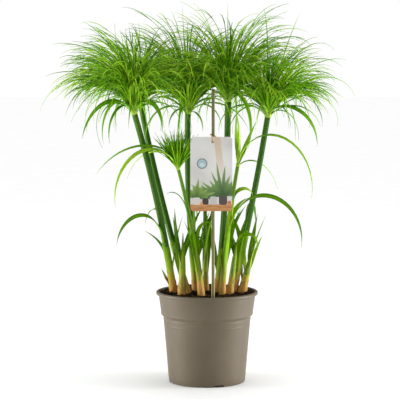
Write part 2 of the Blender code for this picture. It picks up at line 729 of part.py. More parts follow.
def build():
    clear_scene()
    plant = collection("potted_papyrus_plant")
    helpers = collection("cutters", helpers=True)
    finishes = {name: material(name) for name in COLOURS}
    rng = np.random.default_rng(SEED)
    crowd = Crowd()

    paths = {name: stem_path(name) for name in STEMS}
    paths |= {name: shoot_path(name) for name in SHOOTS}
    roots = []
    for name, (points, radii) in paths.items():
        rod(name, points, radii, plant, finishes["stem_green"])
        crowd.add(name, points, radii)
        roots.append((points[1], (points[1] - points[0]).normalized(), radii[0], ROOT_DEPTH))

    cane = [Vector((CANE_X, CANE_Y, CANE_FOOT)), Vector((CANE_X, CANE_Y, CANE_TOP))]
    rod("label_stake", cane, [CANE_RADIUS, CANE_RADIUS], plant, finishes["cane"])
    crowd.add("label_stake", cane, [CANE_RADIUS, CANE_RADIUS])
    ground = Vector((CANE_X, CANE_Y, soil_level(CANE_X, CANE_Y)))
    roots.append((ground, Vector((0, 0, 1)), CANE_RADIUS, ground.z - CANE_FOOT))

    make_pot(plant, helpers, finishes["pot_plastic"])
    make_soil(plant, helpers, finishes["peat_soil"], roots)
    make_card(plant, finishes["card"])
    make_tie(plant, finishes["raffia"])
    guard_card(crowd)

    for number, row in enumerate(LEAVES):
        make_leaf(f"leaf_{number + 1:02d}", row, paths, crowd, plant, finishes["leaf_green"])
    hubs = {name: make_hub(name, crowd) for name in BRACTS}
    for name, (bm, free) in hubs.items():
        grow_bracts(name, bm, free, crowd, rng)
    for name, (bm, free) in hubs.items():
        if name in TUFT_LENGTHS or not name.startswith("young"):
            grow_rays(name, bm, free, crowd, rng)
        object_from(name, bm, plant, finishes["head_green"])


def guard_card(crowd):
    """Upright stretches over the card and its tie, so that no blade passes through them."""
    width, height = CARD_SIZE
    depth = CANE_Y - CARD_BEFORE_CANE
    for step in range(9):
        x = CARD_CENTRE_X + width * (step / 8 - 0.5)
        low, high = Vector((x, depth, CARD_TOP - height)), Vector((x, depth, CARD_TOP + TIE_RISE))
        crowd.add("label_card", [low, high], [CARD_BEFORE_CANE, CARD_BEFORE_CANE])


build()
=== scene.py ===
"""The looks of a potted papyrus sedge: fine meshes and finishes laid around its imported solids.

Metres, +Z up. The origin is the centre of the pot's underside, and the front is towards -Y.
"""

import math
from functools import partial

import bmesh
import bpy
import numpy as np
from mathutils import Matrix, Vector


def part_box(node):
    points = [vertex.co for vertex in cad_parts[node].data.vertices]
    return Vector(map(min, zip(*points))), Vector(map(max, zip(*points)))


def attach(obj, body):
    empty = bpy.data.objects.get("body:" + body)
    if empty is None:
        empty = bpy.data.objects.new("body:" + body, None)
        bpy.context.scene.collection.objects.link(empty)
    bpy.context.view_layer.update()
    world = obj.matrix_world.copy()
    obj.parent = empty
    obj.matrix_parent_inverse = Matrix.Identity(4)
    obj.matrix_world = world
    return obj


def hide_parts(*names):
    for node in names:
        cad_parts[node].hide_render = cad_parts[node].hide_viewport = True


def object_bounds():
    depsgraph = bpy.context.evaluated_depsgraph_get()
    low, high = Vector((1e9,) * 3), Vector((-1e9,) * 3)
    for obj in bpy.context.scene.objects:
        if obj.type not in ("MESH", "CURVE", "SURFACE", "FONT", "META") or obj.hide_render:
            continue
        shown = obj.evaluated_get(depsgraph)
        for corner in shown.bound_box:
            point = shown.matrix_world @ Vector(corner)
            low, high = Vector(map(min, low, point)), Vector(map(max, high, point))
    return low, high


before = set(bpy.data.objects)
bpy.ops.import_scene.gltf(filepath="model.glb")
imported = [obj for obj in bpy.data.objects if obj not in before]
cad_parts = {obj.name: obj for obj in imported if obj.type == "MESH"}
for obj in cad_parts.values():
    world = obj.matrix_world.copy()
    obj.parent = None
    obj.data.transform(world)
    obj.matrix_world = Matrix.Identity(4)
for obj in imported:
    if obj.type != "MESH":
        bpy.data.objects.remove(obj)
solid_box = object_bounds()

# The camera stands well back with a long lens, a little above the heads' middle, and looks along +Y.
CAMERA_AT = (-0.0131, -3.36, 0.66)
CAMERA_DIPS = math.radians(5.44)
CAMERA_LENS = 163.5
SENSOR = 36
lens = bpy.data.cameras.new("camera")
lens.lens = CAMERA_LENS
lens.sensor_width = SENSOR
camera = bpy.data.objects.new("camera", lens)
camera.location = CAMERA_AT
camera.rotation_euler = (math.pi / 2 - CAMERA_DIPS, 0, 0)
bpy.context.scene.collection.objects.link(camera)
bpy.context.scene.camera = camera


# The studio: a pale floor in white light from all round. An overhead lamp draws the soft shadow by the
# pot. A low soft box on each side, out of the camera's sight, lights the flanks of the pot and the stems.
FLOOR_RADIUS = 14.0
# The sky's strength as the camera sees it, and as it lights the scene
SKY_SEEN = 1.0
SKY_LIGHT = 0.36
OVERHEAD = 2.15
OVERHEAD_AT = (0.1, 0.35, 3)
OVERHEAD_SPREAD = math.radians(70)
LAMPS_FACE = (0, 0, 0.25)
# Each soft box: its place, its width and height, and its power in watts
SOFT_BOXES = {
    "box_left": ((-1.9, -0.15, 0.27), (0.9, 0.50), 36),
    "box_right": ((1.9, -0.05, 0.29), (0.9, 0.54), 40),
}


class Wire:
    """What a node gives out. Arithmetic on a number adds Math nodes, and either side may be plain."""

    def __init__(self, finish, socket):
        self.finish, self.socket = finish, socket

    def math(self, operation, *values):
        return self.finish.add("ShaderNodeMath", {"operation": operation}, values)

    def __add__(self, other):
        return self.math("ADD", self, other)

    def __sub__(self, other):
        return self.math("SUBTRACT", self, other)

    def __rsub__(self, other):
        return self.math("SUBTRACT", other, self)

    def __mul__(self, other):
        return self.math("MULTIPLY", self, other)

    def __truediv__(self, other):
        return self.math("DIVIDE", self, other)

    def __pow__(self, other):
        return self.math("POWER", self, other)

    def __abs__(self):
        return self.math("ABSOLUTE", self)

    __radd__ = __add__
    __rmul__ = __mul__


class Finish:
    """The finish of one kind of surface, with the one method that adds nodes to its material."""

    def __init__(self, name, roughness, coat=0.0, specular=0.5, gloss=(1, 1, 1)):
        self.material = bpy.data.materials.new(name)
        self.material.use_nodes = True
        self.nodes = self.material.node_tree.nodes
        self.shader = self.nodes["Principled BSDF"]
        self.feed(self.shader, {"Roughness": roughness, "Coat Weight": coat})
        self.feed(self.shader, {"Specular IOR Level": specular, "Specular Tint": gloss})

    def feed(self, node, values):
        """Sets a node's sockets, by name or in order: each takes a link from a Wire, or a plain value."""
        for socket, value in values.items() if isinstance(values, dict) else enumerate(values):
            if isinstance(value, Wire):
                self.material.node_tree.links.new(value.socket, node.inputs[socket])
            elif node.inputs[socket].type == "RGBA":
                node.inputs[socket].default_value = (*value[:3], 1)
            else:
                node.inputs[socket].default_value = value

    def add(self, kind, settings=(), values=(), out=0):
        """Adds a node of a kind, with its settings and then its sockets, and gives one of its outputs."""
        node = self.nodes.new(kind)
        for setting, value in dict(settings).items():
            if setting != "stops":
                setattr(node, setting, value)
                continue
            stops = node.color_ramp.elements
            stops.remove(stops[1])
            stops[0].position, stops[0].color = value[0][0], (*value[0][1], 1)
            for place, colour in value[1:]:
                stops.new(place).color = (*colour, 1)
        self.feed(node, values)
        return Wire(self, node.outputs[out])

    def at(self):
        """The place on the object, in metres."""
        return self.add("ShaderNodeTexCoord", out="Object")

    def grain(self):
        """The place on a tube: the part of the way along it, and then across or around it."""
        return self.add("ShaderNodeAttribute", {"attribute_name": "grain"}, out="Vector")

    def tint(self):
        """The one number of a tube, by which its shade differs from its neighbours'."""
        return self.add("ShaderNodeAttribute", {"attribute_name": "tint"}, out="Fac")

    def parts(self, vector):
        """The three numbers of a vector."""
        return [self.add("ShaderNodeSeparateXYZ", (), [vector], out=axis) for axis in range(3)]

    def stretched(self, vector, by):
        """A vector times three numbers: a pattern on it is finer along the greater ones."""
        return self.add("ShaderNodeVectorMath", {"operation": "MULTIPLY"}, [vector, by])

    def noise(self, where, scale, detail=2.0, rough=0.5):
        """Cloudy noise of 0 to 1, about `scale` clouds to a unit."""
        values = {"Vector": where, "Scale": scale, "Detail": detail, "Roughness": rough}
        return self.add("ShaderNodeTexNoise", (), values)

    def ramp(self, value, *stops):
        """The colour of a value, between stops of (place, colour)."""
        return self.add("ShaderNodeValToRGB", {"stops": stops}, [value])

    def mix(self, share, first, second):
        """Blends two colours: `share` of the second over the first."""
        return self.add("ShaderNodeMix", {"data_type": "RGBA"}, {0: share, 6: first, 7: second}, out=2)

    def step(self, value, low, high):
        """Rises smoothly from 0 at low to 1 at high."""
        return self.add("ShaderNodeMapRange", {"interpolation_type": "SMOOTHSTEP"}, [value, low, high])

    def relief(self, height, distance):
        """Bumps the surface by a height of 0 to 1, times a distance in metres."""
        values = {"Height": height, "Distance": distance, "Strength": 1.0}
        self.feed(self.shader, {"Normal": self.add("ShaderNodeBump", (), values)})


def paint(red, green, blue):
    """A colour as a screen shows it, 0 to 255, in the shader's own linear scale."""
    return tuple((value / 255) ** 2.2 for value in (red, green, blue))


def aimed(obj, place, target):
    """Stands an object at a place with its -Z axis towards a target."""
    obj.location = place
    away = obj.location - type(obj.location)(target)
    obj.rotation_euler = away.to_track_quat("Z", "Y").to_euler()
    bpy.context.scene.collection.objects.link(obj)


sky = bpy.data.worlds.new("studio")
sky.use_nodes = True
sky_nodes, sky_links = sky.node_tree.nodes, sky.node_tree.links
backdrop = sky_nodes["Background"]
backdrop.inputs["Color"].default_value = (1, 1, 1, 1)
seen_or_lit = sky_nodes.new("ShaderNodeMapRange")
seen_or_lit.inputs["To Min"].default_value = SKY_LIGHT
seen_or_lit.inputs["To Max"].default_value = SKY_SEEN
light_path = sky_nodes.new("ShaderNodeLightPath")
sky_links.new(light_path.outputs["Is Camera Ray"], seen_or_lit.inputs["Value"])
sky_links.new(seen_or_lit.outputs["Result"], backdrop.inputs["Strength"])
bpy.context.scene.world = sky
bpy.context.scene.view_settings.view_transform = "Standard"

lamp = bpy.data.lights.new("overhead", "SUN")
lamp.energy = OVERHEAD
lamp.angle = OVERHEAD_SPREAD
aimed(bpy.data.objects.new("overhead", lamp), OVERHEAD_AT, LAMPS_FACE)
for name, (place, (width, height), power) in SOFT_BOXES.items():
    lamp = bpy.data.lights.new(name, "AREA")
    lamp.shape = "RECTANGLE"
    lamp.size, lamp.size_y, lamp.energy = width, height, power
    soft_box = bpy.data.objects.new(name, lamp)
    soft_box.visible_camera = False
    aimed(soft_box, place, LAMPS_FACE)

paper = Finish("floor_paper", 0.9, specular=0.1)
fibres = paper.noise(paper.at(), 9.0)
white = paper.ramp(fibres, (0.3, (0.95, 0.95, 0.95)), (0.7, (0.97, 0.97, 0.97)))
paper.feed(paper.shader, {"Base Color": white})
disc = bmesh.new()
bmesh.ops.create_circle(disc, cap_ends=True, segments=64, radius=FLOOR_RADIUS)
floor_mesh = bpy.data.meshes.new("floor")
disc.to_mesh(floor_mesh)
disc.free()
floor_mesh.materials.append(paper.material)
floor = bpy.data.objects.new("floor", floor_mesh)
bpy.context.scene.collection.objects.link(floor)


# The pot: a thin moulding of taupe recycled plastic, matt and faintly mottled, with a rolled lip, a deep
# rim band that steps in to a ledge, two fine beads under the ledge and four drain slots round its foot.
_, pot_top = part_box("pot")
LIP_RADIUS, POT_HEIGHT = pot_top.x, pot_top.z
LIP_DEPTH = 0.006
MOUTH_RADIUS = 0.0895
BAND_RADIUS = 0.0858
LEDGE_RADIUS = 0.0816
LEDGE_HEIGHT = 0.1228
BAND_FOOT = 0.1272
BASE_RADIUS = 0.0712
WALL = 0.0016
FLOOR_TOP = 0.0045
FOOT_INSIDE = 0.0582
RECESS = 0.0025
BEAD_HEIGHTS = (0.1180, 0.1085)
BEAD_RISE = 0.00035
BEAD_SPREAD = 0.0007
SLOT_SIZE = (0.018, 0.019, 0.0038)
SLOT_HEADINGS = (-72, 18, 108, 198)
POT_SIDES = 168


def skinned(tubes):
    """Points of closed tubes, from their rings: an array of tubes, rings, sides and three numbers.

    Each tube's rings come first, in turn, and then the middles of its first and last ring.
    """
    ends = tubes[:, [0, -1]].mean(axis=2)
    return np.concatenate([tubes.reshape(len(tubes), -1, 3), ends], axis=1).reshape(-1, 3)


def skin_faces(tubes, rings, sides):
    """Triangles of closed tubes: two between each pair of neighbours on two rings, and a fan at each end."""
    ring, side = np.meshgrid(np.arange(rings - 1) * sides, np.arange(sides), indexing="ij")
    near, far = ring + side, ring + (side + 1) % sides
    wall = np.stack([near, far, far + sides, near, far + sides, near + sides], -1).reshape(-1, 3)
    rim = np.arange(sides)
    after, last = (rim + 1) % sides, (rings - 1) * sides
    start = np.full(sides, rings * sides)
    low = np.stack([start, after, rim], -1)
    high = np.stack([start + 1, last + rim, last + after], -1)
    faces = np.concatenate([wall, low, high])
    return (faces + np.arange(tubes)[:, None, None] * (rings * sides + 2)).reshape(-1, 3)


def piece(name, shells, finish):
    """One mesh object from shells of (tubes, grain, tint).

    Grain is three numbers at each point: the part of the way along, then the place across or around.
    Tint is one number for each tube. Both are kept as attributes, which the finishes read.
    """
    points, faces, grains, tints, before = [], [], [], [], 0
    for tubes, grain, tint in shells:
        count, rings, sides, _ = tubes.shape
        points.append(skinned(tubes))
        faces.append(skin_faces(count, rings, sides) + before)
        grains.append(skinned(np.broadcast_to(grain, tubes.shape)))
        tints.append(np.repeat(np.broadcast_to(tint, count), rings * sides + 2))
        before += len(points[-1])
    points, faces = np.concatenate(points), np.concatenate(faces)
    mesh = bpy.data.meshes.new(name)
    mesh.vertices.add(len(points))
    mesh.vertices.foreach_set("co", points.astype(np.float32).ravel())
    mesh.loops.add(faces.size)
    mesh.loops.foreach_set("vertex_index", faces.astype(np.int32).ravel())
    mesh.polygons.add(len(faces))
    mesh.polygons.foreach_set("loop_start", np.arange(0, faces.size, 3, dtype=np.int32))
    mesh.update(calc_edges=True)
    for attribute, kind, field, values in (
        ("grain", "FLOAT_VECTOR", "vector", grains),
        ("tint", "FLOAT", "value", tints),
    ):
        stored = mesh.attributes.new(attribute, kind, "POINT")
        stored.data.foreach_set(field, np.concatenate(values).astype(np.float32).ravel())
    mesh.shade_smooth()
    mesh.materials.append(finish.material)
    obj = bpy.data.objects.new(name, mesh)
    bpy.context.scene.collection.objects.link(obj)
    return obj


def rounded(corners, bend, steps=4):
    """An outline whose inner corners are swapped for curves (1-t)^2 a + 2t(1-t) corner + t^2 b.

    a and b lie on the corner's two sides, `bend` away from it or at their middles if those are nearer.
    """
    corners = np.array(corners, float)
    before, middle, after = corners[:-2], corners[1:-1], corners[2:]
    ends = []
    for other in (before, after):
        reach = np.linalg.norm(other - middle, axis=1, keepdims=True)
        ends.append(middle + (other - middle) * np.minimum(bend / reach, 0.5))
    t = np.linspace(0, 1, steps)[None, :, None]
    curves = (1 - t) ** 2 * ends[0][:, None] + 2 * t * (1 - t) * middle[:, None] + t**2 * ends[1][:, None]
    return np.concatenate([corners[:1], curves.reshape(-1, 2), corners[-1:]])


def turned(outline, sides):
    """A closed shell from an outline of (radius, height) turned about Z, and its grain."""
    angle = np.arange(sides) * math.tau / sides
    radius, height = outline[:, 0, None], np.repeat(outline[:, 1, None], sides, axis=1)
    tubes = np.stack([radius * np.cos(angle), radius * np.sin(angle), height], -1)[None]
    return tubes, tubes * 0


def pot_outline():
    """The pot's outline from under the floor, up the outside, over the lip and down the inside.

    On the outer wall the radius grows evenly with height, plus BEAD_RISE * exp(-((z - bead) / spread)^2).
    """
    under = [(0.001, 0.0), (0.028, 0.0), (0.0296, RECESS), (FOOT_INSIDE - 0.0016, RECESS)]
    under += [(FOOT_INSIDE, 0.0), (BASE_RADIUS - 0.0014, 0.0), (BASE_RADIUS, 0.0018), (BASE_RADIUS, 0.003)]
    heights = np.concatenate([np.linspace(0.004, 0.104, 14), np.linspace(0.1048, LEDGE_HEIGHT - 0.001, 44)])
    radii = BASE_RADIUS + (LEDGE_RADIUS - BASE_RADIUS) * heights / LEDGE_HEIGHT
    for bead in BEAD_HEIGHTS:
        radii = radii + BEAD_RISE * np.exp(-(((heights - bead) / BEAD_SPREAD) ** 2))
    band = [(LEDGE_RADIUS - 0.0001, LEDGE_HEIGHT - 0.0006), (LEDGE_RADIUS, LEDGE_HEIGHT)]
    band += [(BAND_RADIUS, BAND_FOOT), (BAND_RADIUS + 0.0002, BAND_FOOT + 0.004)]
    lip_foot = POT_HEIGHT - LIP_DEPTH
    lip = [(MOUTH_RADIUS + 0.0006, lip_foot - 0.001), (MOUTH_RADIUS + 0.0010, lip_foot)]
    lip += [(LIP_RADIUS - 0.0006, lip_foot), (LIP_RADIUS, lip_foot + 0.0016)]
    lip += [(LIP_RADIUS, POT_HEIGHT - 0.0016), (LIP_RADIUS - 0.0016, POT_HEIGHT)]
    inside = [(MOUTH_RADIUS, POT_HEIGHT), (MOUTH_RADIUS - WALL / 2, lip_foot - 0.002)]
    inside += [(BAND_RADIUS - WALL, BAND_FOOT + WALL), (LEDGE_RADIUS - WALL, LEDGE_HEIGHT + WALL / 3)]
    inside += [(BASE_RADIUS - WALL, FLOOR_TOP), (0.001, FLOOR_TOP)]
    wall = np.stack([radii, heights], -1)
    return np.concatenate([rounded(under, 0.0012), wall, rounded(band + lip + inside, 0.0009)])


def cut_slots(pot):
    """Cuts the drain slots through the foot of the wall with box cutters, and keeps what is left."""
    through, width, height = SLOT_SIZE
    cutters = []
    for heading in SLOT_HEADINGS:
        box = bmesh.new()
        bmesh.ops.create_cube(box, size=1)
        bmesh.ops.scale(box, verts=box.verts, vec=(through, width, 2 * height))
        bmesh.ops.bevel(box, geom=box.edges[:], offset=0.0006, segments=2, affect="EDGES")
        mesh = bpy.data.meshes.new("slot_cutter")
        box.to_mesh(mesh)
        box.free()
        cutter = bpy.data.objects.new("slot_cutter", mesh)
        angle = math.radians(heading)
        cutter.location = (BASE_RADIUS * math.cos(angle), BASE_RADIUS * math.sin(angle), 0)
        cutter.rotation_euler.z = angle
        bpy.context.scene.collection.objects.link(cutter)
        cut = pot.modifiers.new("slot", "BOOLEAN")
        cut.operation = "DIFFERENCE"
        cut.object = cutter
        cutters.append(cutter)
    graph = bpy.context.evaluated_depsgraph_get()
    mesh = bpy.data.meshes.new_from_object(pot.evaluated_get(graph))
    pot.modifiers.clear()
    pot.data = mesh
    for cutter in cutters:
        bpy.data.objects.remove(cutter)


plastic = Finish("pot_plastic", 0.5, specular=0.4)
spot = plastic.at()
mottle = plastic.noise(spot, 16.0, 4.0)
specks = plastic.noise(spot, 900.0, 2.0)
taupe = plastic.ramp(mottle, (0.3, paint(94, 84, 67)), (0.7, paint(103, 92, 75)))
taupe = plastic.mix(plastic.step(specks, 0.62, 0.75) * 0.25, taupe, paint(76, 68, 54))
scuffs = plastic.noise(plastic.stretched(spot, (60, 60, 900)), 1.0, 3.0)
roughness = 0.44 + mottle * 0.1 + plastic.step(scuffs, 0.55, 0.8) * 0.1
plastic.feed(plastic.shader, {"Base Color": taupe, "Roughness": roughness})
plastic.relief(specks * 0.6 + scuffs * 0.4, 0.00012)

pot = piece("nursery_pot", [(*turned(pot_outline(), POT_SIDES), 0.0)], plastic)
cut_slots(pot)
pot.data.set_sharp_from_angle(angle=math.radians(38))
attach(pot, "root")
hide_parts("pot")


# The soil: dark, moist peat compost, crumbly on top, a little higher at the back, with scattered crumbs
# of bark and pale root fibres. It was pressed in round the plant and fills the pot.
SOIL_HEIGHT = 0.1642
SOIL_SLOPE = 0.026
SOIL_LUMP = 0.0006
SOIL_GAP = 0.0004
SOIL_SIDES = 190
SOIL_RINGS = 84
CRUMB_COUNT = 1500
CRUMB_SIZES = (0.0006, 0.0024)
FIBRE_COUNT = 90
FIBRE_RADIUS = 0.00025
WAVES = 26
LONGEST_WAVE = 120
CRUMBLE = 0.0011
CRUMBLE_SINKS = 0.0016
soil_rng = np.random.default_rng(3)
soil_waves = soil_rng.normal(0, 1, (WAVES, 2)) * np.geomspace(LONGEST_WAVE, 900, WAVES)[:, None]
soil_shifts = soil_rng.uniform(0, math.tau, WAVES)


def soil_level(x, y):
    """The soil's surface: a plane that climbs to the back, with the low lumps that its solid has."""
    lumps = np.sin(151 * x + 1.3) * np.sin(137 * y + 0.4) + 0.6 * np.sin(263 * x - 211 * y)
    return SOIL_HEIGHT + SOIL_SLOPE * y + SOIL_LUMP * lumps


def crumbly(x, y):
    """The crumbly surface: many sine waves of random heading, finer ones lower, folded upwards."""
    phase = x[..., None] * soil_waves[:, 0] + y[..., None] * soil_waves[:, 1] + soil_shifts
    size = CRUMBLE * (LONGEST_WAVE / np.linalg.norm(soil_waves, axis=1)) ** 0.45
    return soil_level(x, y) + (np.abs(np.sin(phase)) * size).sum(-1) / 3 - CRUMBLE_SINKS


def soil_shell():
    """The soil from under its middle, out and up its side, then over its crumbly top to the middle."""
    angle = np.arange(SOIL_SIDES) * math.tau / SOIL_SIDES
    side = [(0.001, FLOOR_TOP + SOIL_GAP), (BASE_RADIUS - WALL - SOIL_GAP, FLOOR_TOP + SOIL_GAP)]
    side.append((LEDGE_RADIUS - WALL - SOIL_GAP, LEDGE_HEIGHT))
    side.append((BAND_RADIUS - WALL - SOIL_GAP, BAND_FOOT + WALL))
    rim = MOUTH_RADIUS - WALL / 2 - 2 * SOIL_GAP
    radii = np.concatenate([[r for r, _ in side], rim * np.linspace(1, 0.004, SOIL_RINGS) ** 0.8])
    x, y = radii[:, None] * np.cos(angle), radii[:, None] * np.sin(angle)
    z = crumbly(x, y)
    z[: len(side)] = np.array([height for _, height in side])[:, None]
    return np.stack([x, y, z], -1)[None]


def scattered(count, radius):
    """Random places spread evenly over the soil, out to a radius."""
    reach, angle = radius * np.sqrt(soil_rng.uniform(0, 1, count)), soil_rng.uniform(0, math.tau, count)
    return reach * np.cos(angle), reach * np.sin(angle)


def crumbs():
    """Small lumps: tubes of three five-sided rings, each turned by random axes and pressed into the soil."""
    x, y = scattered(CRUMB_COUNT, MOUTH_RADIUS - 0.004)
    size = soil_rng.uniform(0, 1, CRUMB_COUNT) ** 3 * (CRUMB_SIZES[1] - CRUMB_SIZES[0]) + CRUMB_SIZES[0]
    middle = np.stack([x, y, crumbly(x, y) + size * 0.3], -1)
    axes = np.linalg.qr(soil_rng.normal(0, 1, (CRUMB_COUNT, 3, 3)))[0]
    axes *= np.sign(np.linalg.det(axes))[:, None, None]
    angle = np.arange(5) * math.tau / 5
    ring = np.stack([np.cos(angle), np.sin(angle), angle * 0], -1)
    layers = np.stack([ring * wide + (0, 0, high) for high, wide in ((-0.6, 0.55), (0, 1), (0.6, 0.6))])
    layers = layers * soil_rng.uniform(0.75, 1.25, (CRUMB_COUNT, 3, 5, 1)) * (1.3, 0.9, 0.8)
    return middle[:, None, None] + np.einsum("nrsk,njk->nrsj", layers, axes) * size[:, None, None, None]


def fibres_on_soil():
    """Thin root fibres: short arcs on the soil, each three-sided and bent by a sine of the way along."""
    x, y = scattered(FIBRE_COUNT, MOUTH_RADIUS - 0.016)
    along, heading = np.linspace(-1, 1, 7), soil_rng.uniform(0, math.tau, (FIBRE_COUNT, 1))
    length, bend = soil_rng.uniform(0.004, 0.010, (2, FIBRE_COUNT, 1)) * [[[1]], [[0.4]]]
    out, over = length * along, bend * np.cos(along * 2)
    x = x[:, None] + out * np.cos(heading) - over * np.sin(heading)
    y = y[:, None] + out * np.sin(heading) + over * np.cos(heading)
    line = np.stack([x, y, crumbly(x, y) + 0.0004], -1)
    angle = np.arange(3) * math.tau / 3
    flat = np.stack([-np.sin(heading), np.cos(heading), heading * 0], -1)[:, :, None]
    ring = flat * np.cos(angle)[:, None] + np.array([0, 0, 1]) * np.sin(angle)[:, None]
    return line[:, :, None] + ring * FIBRE_RADIUS


peat = Finish("peat_soil", 0.95, specular=0.2)
spot = peat.at()
clods = peat.noise(spot, 140.0, 5.0, 0.65)
earth = peat.ramp(clods, (0.3, paint(7, 3, 1)), (0.55, paint(20, 11, 5)), (0.75, paint(44, 27, 13)))
earth = peat.mix(peat.tint(), earth, paint(128, 92, 54))
peat.feed(peat.shader, {"Base Color": earth})
peat.relief(clods + peat.noise(spot, 900.0), 0.0009)

soil = piece(
    "peat_soil",
    [
        (soil_shell(), 0.0, 0.0),
        (crumbs(), 0.0, soil_rng.uniform(0, 1, CRUMB_COUNT) ** 5 * 0.8),
        (fibres_on_soil(), 0.0, 0.9),
    ],
    peat,
)
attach(soil, "root")
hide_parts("soil")


# The stems: eight smooth, pithy culms, bluntly three-sided and finely ribbed, dark green with paler
# streaks. Each grows from the root stock under the soil and narrows to the head that it carries.
STEMS = {
    "stem_left_front": ((-0.0620, 0.004), (-0.1333, -0.050, 0.5058), 0.006, 0.0068, 0.0054),
    "stem_left_back": ((-0.0350, -0.006), (-0.1239, 0.055, 0.5122), -0.005, 0.0066, 0.0052),
    "stem_middle": ((-0.0200, 0.022), (-0.0354, 0.022, 0.5025), -0.006, 0.0064, 0.0055),
    "stem_right_middle": ((0.0190, 0.006), (0.0386, 0.000, 0.5256), 0.0045, 0.0066, 0.0058),
    "stem_right": ((0.0475, 0.006), (0.1127, 0.000, 0.4979), 0.003, 0.0068, 0.0052),
    "young_stem_left": ((-0.0100, -0.032), (-0.0534, -0.040, 0.4027), 0.005, 0.0060, 0.0030),
    "young_stem_right": ((0.0280, -0.022), (0.0569, -0.020, 0.4067), -0.004, 0.0056, 0.0034),
    "young_stem_middle": ((-0.0015, 0.018), (-0.0015, 0.030, 0.4080), -0.002, 0.0052, 0.0032),
}
TALL_HUB = 0.0074
YOUNG_HUB = 0.0048
SHEATH_TOP = 0.045
STEM_SIDES = 18
STEM_RINGS = 40
RIDGES = 0.045
# How deep stems and shoots go into the soil, and the least that a stem stands over it
BURIED = 0.010
STEM_TALL = 0.3


def unit(vectors):
    """Vectors made 1 long."""
    return vectors / np.linalg.norm(vectors, axis=-1, keepdims=True)


def stem_line(row, part):
    """Points up a stem: foot + (head - foot) * part, bowed sideways by 4 * bow * part * (1 - part)."""
    (x, y), head, bow, *_ = row
    foot, part = np.array([x, y, soil_level(x, y)]), np.asarray(part, float)[..., None]
    return foot + (np.array(head) - foot) * part + np.array([bow, 0, 0]) * 4 * part * (1 - part)


def stem_radius(row, part):
    """Radius up a stem: it narrows evenly, and swells over its sheathed foot."""
    (x, y), head, _, low, high = row
    sheath = np.maximum(0, 1 - part * (head[2] - soil_level(x, y)) / SHEATH_TOP)
    return high + (0.86 * low - high) * (1 - part) + 0.14 * low * sheath


def around(axis, angle):
    """Directions square to an axis: cos(a) * across + sin(a) * over, with across square to +Y as well."""
    across = unit(np.cross((0, 1, 0), axis))
    return np.cos(angle)[..., None] * across + np.sin(angle)[..., None] * np.cross(axis, across)


def sleeve(line, parts, radius, angle):
    """A shell round a line, and its grain: line(part) + radius * around(the whole line, angle).

    Parts, radius and angle are arrays of rings and sides.
    """
    tube = line(parts) + radius[..., None] * around(unit(line(1.0) - line(0.0)), angle)
    return tube[None], np.stack([parts, np.cos(angle), np.sin(angle)], -1)[None]


def round_grid(rings, sides, first, last):
    """Parts of the way and angles on a grid of rings and sides."""
    parts, angle = np.linspace(first, last, rings), np.arange(sides) * math.tau / sides
    return np.meshgrid(parts, angle, indexing="ij")


def part_at(row, height):
    """The part of the way up a stem at a height: 0 on the soil and 1 at its head."""
    foot = soil_level(*row[0])
    return (height - foot) / (row[1][2] - foot)


def above_soil(finish):
    """The height over the soil, in metres."""
    return finish.parts(finish.at())[2] - SOIL_HEIGHT


culm = Finish("stem_green", 0.40, specular=0.22, gloss=(0.8, 1, 0.5))
grain = culm.grain()
ribs = culm.noise(culm.stretched(grain, (1.2, 9, 9)), 1.0, 3.0, 0.6)
blotch = culm.noise(culm.stretched(grain, (9, 2, 2)), 1.0, 2.0)
green = culm.ramp(ribs, (0.36, paint(12, 46, 0)), (0.5, paint(36, 84, 2)), (0.66, paint(96, 138, 40)))
young = culm.ramp(ribs, (0.3, paint(56, 100, 8)), (0.7, paint(126, 164, 50)))
green = culm.mix(culm.tint(), green, young)
pale = culm.mix(ribs, paint(92, 116, 18), paint(168, 170, 70))
tan = culm.ramp(blotch, (0.35, paint(132, 76, 26)), (0.5, paint(186, 134, 62)), (0.7, paint(206, 166, 92)))
height = above_soil(culm) + (blotch - 0.5) * 0.02
green = culm.mix(1 - culm.step(height, 0.020, 0.105), green, pale)
green = culm.mix(1 - culm.step(height, 0.006, 0.048), green, tan)
culm.feed(culm.shader, {"Base Color": green, "Roughness": 0.30 + ribs * 0.2})
culm.relief(culm.noise(culm.stretched(grain, (0.6, 22, 22)), 1.0), 0.0004)

for name, row in STEMS.items():
    part, angle = round_grid(STEM_RINGS, STEM_SIDES, -BURIED / STEM_TALL, 1.0)
    ridged = stem_radius(row, np.maximum(part, 0)) * (1 + RIDGES * np.cos(3 * angle + part * 2))
    shell = sleeve(partial(stem_line, row), part, ridged, angle)
    stem = piece(f"{name}_culm", [(*shell, 0.75 if name.startswith("young") else 0.0)], culm)
    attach(stem, "root")
    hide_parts(name)


# The sheaths: thin papery tubes that wrap the foot of each stem, one inside another, each with a slanting
# mouth that ends in a point. The outer ones are dry and tan, the inner ones are still green.
SHEATH_RINGS = 14
SHEATH_SIDES = 16
# Each stem's sheaths: the height of the mouth and of its point over the soil, and where the point looks
SHEATHS = {
    "stem_left_front": ((0.020, 0.052, 200), (0.012, 0.030, 330)),
    "stem_left_back": ((0.030, 0.060, 250), (0.010, 0.026, 300)),
    "stem_middle": ((0.022, 0.048, 310), (0.014, 0.026, 200)),
    "stem_right_middle": ((0.030, 0.058, 290), (0.012, 0.030, 200)),
    "stem_right": ((0.024, 0.056, 230), (0.012, 0.034, 320)),
    "young_stem_left": ((0.040, 0.070, 300), (0.014, 0.036, 240)),
    "young_stem_right": ((0.030, 0.060, 220), (0.010, 0.026, 300)),
    "young_stem_middle": ((0.030, 0.050, 280), (0.012, 0.024, 200)),
}
SHEATH_WALL = 0.0005
SHEATH_LOW = -0.02


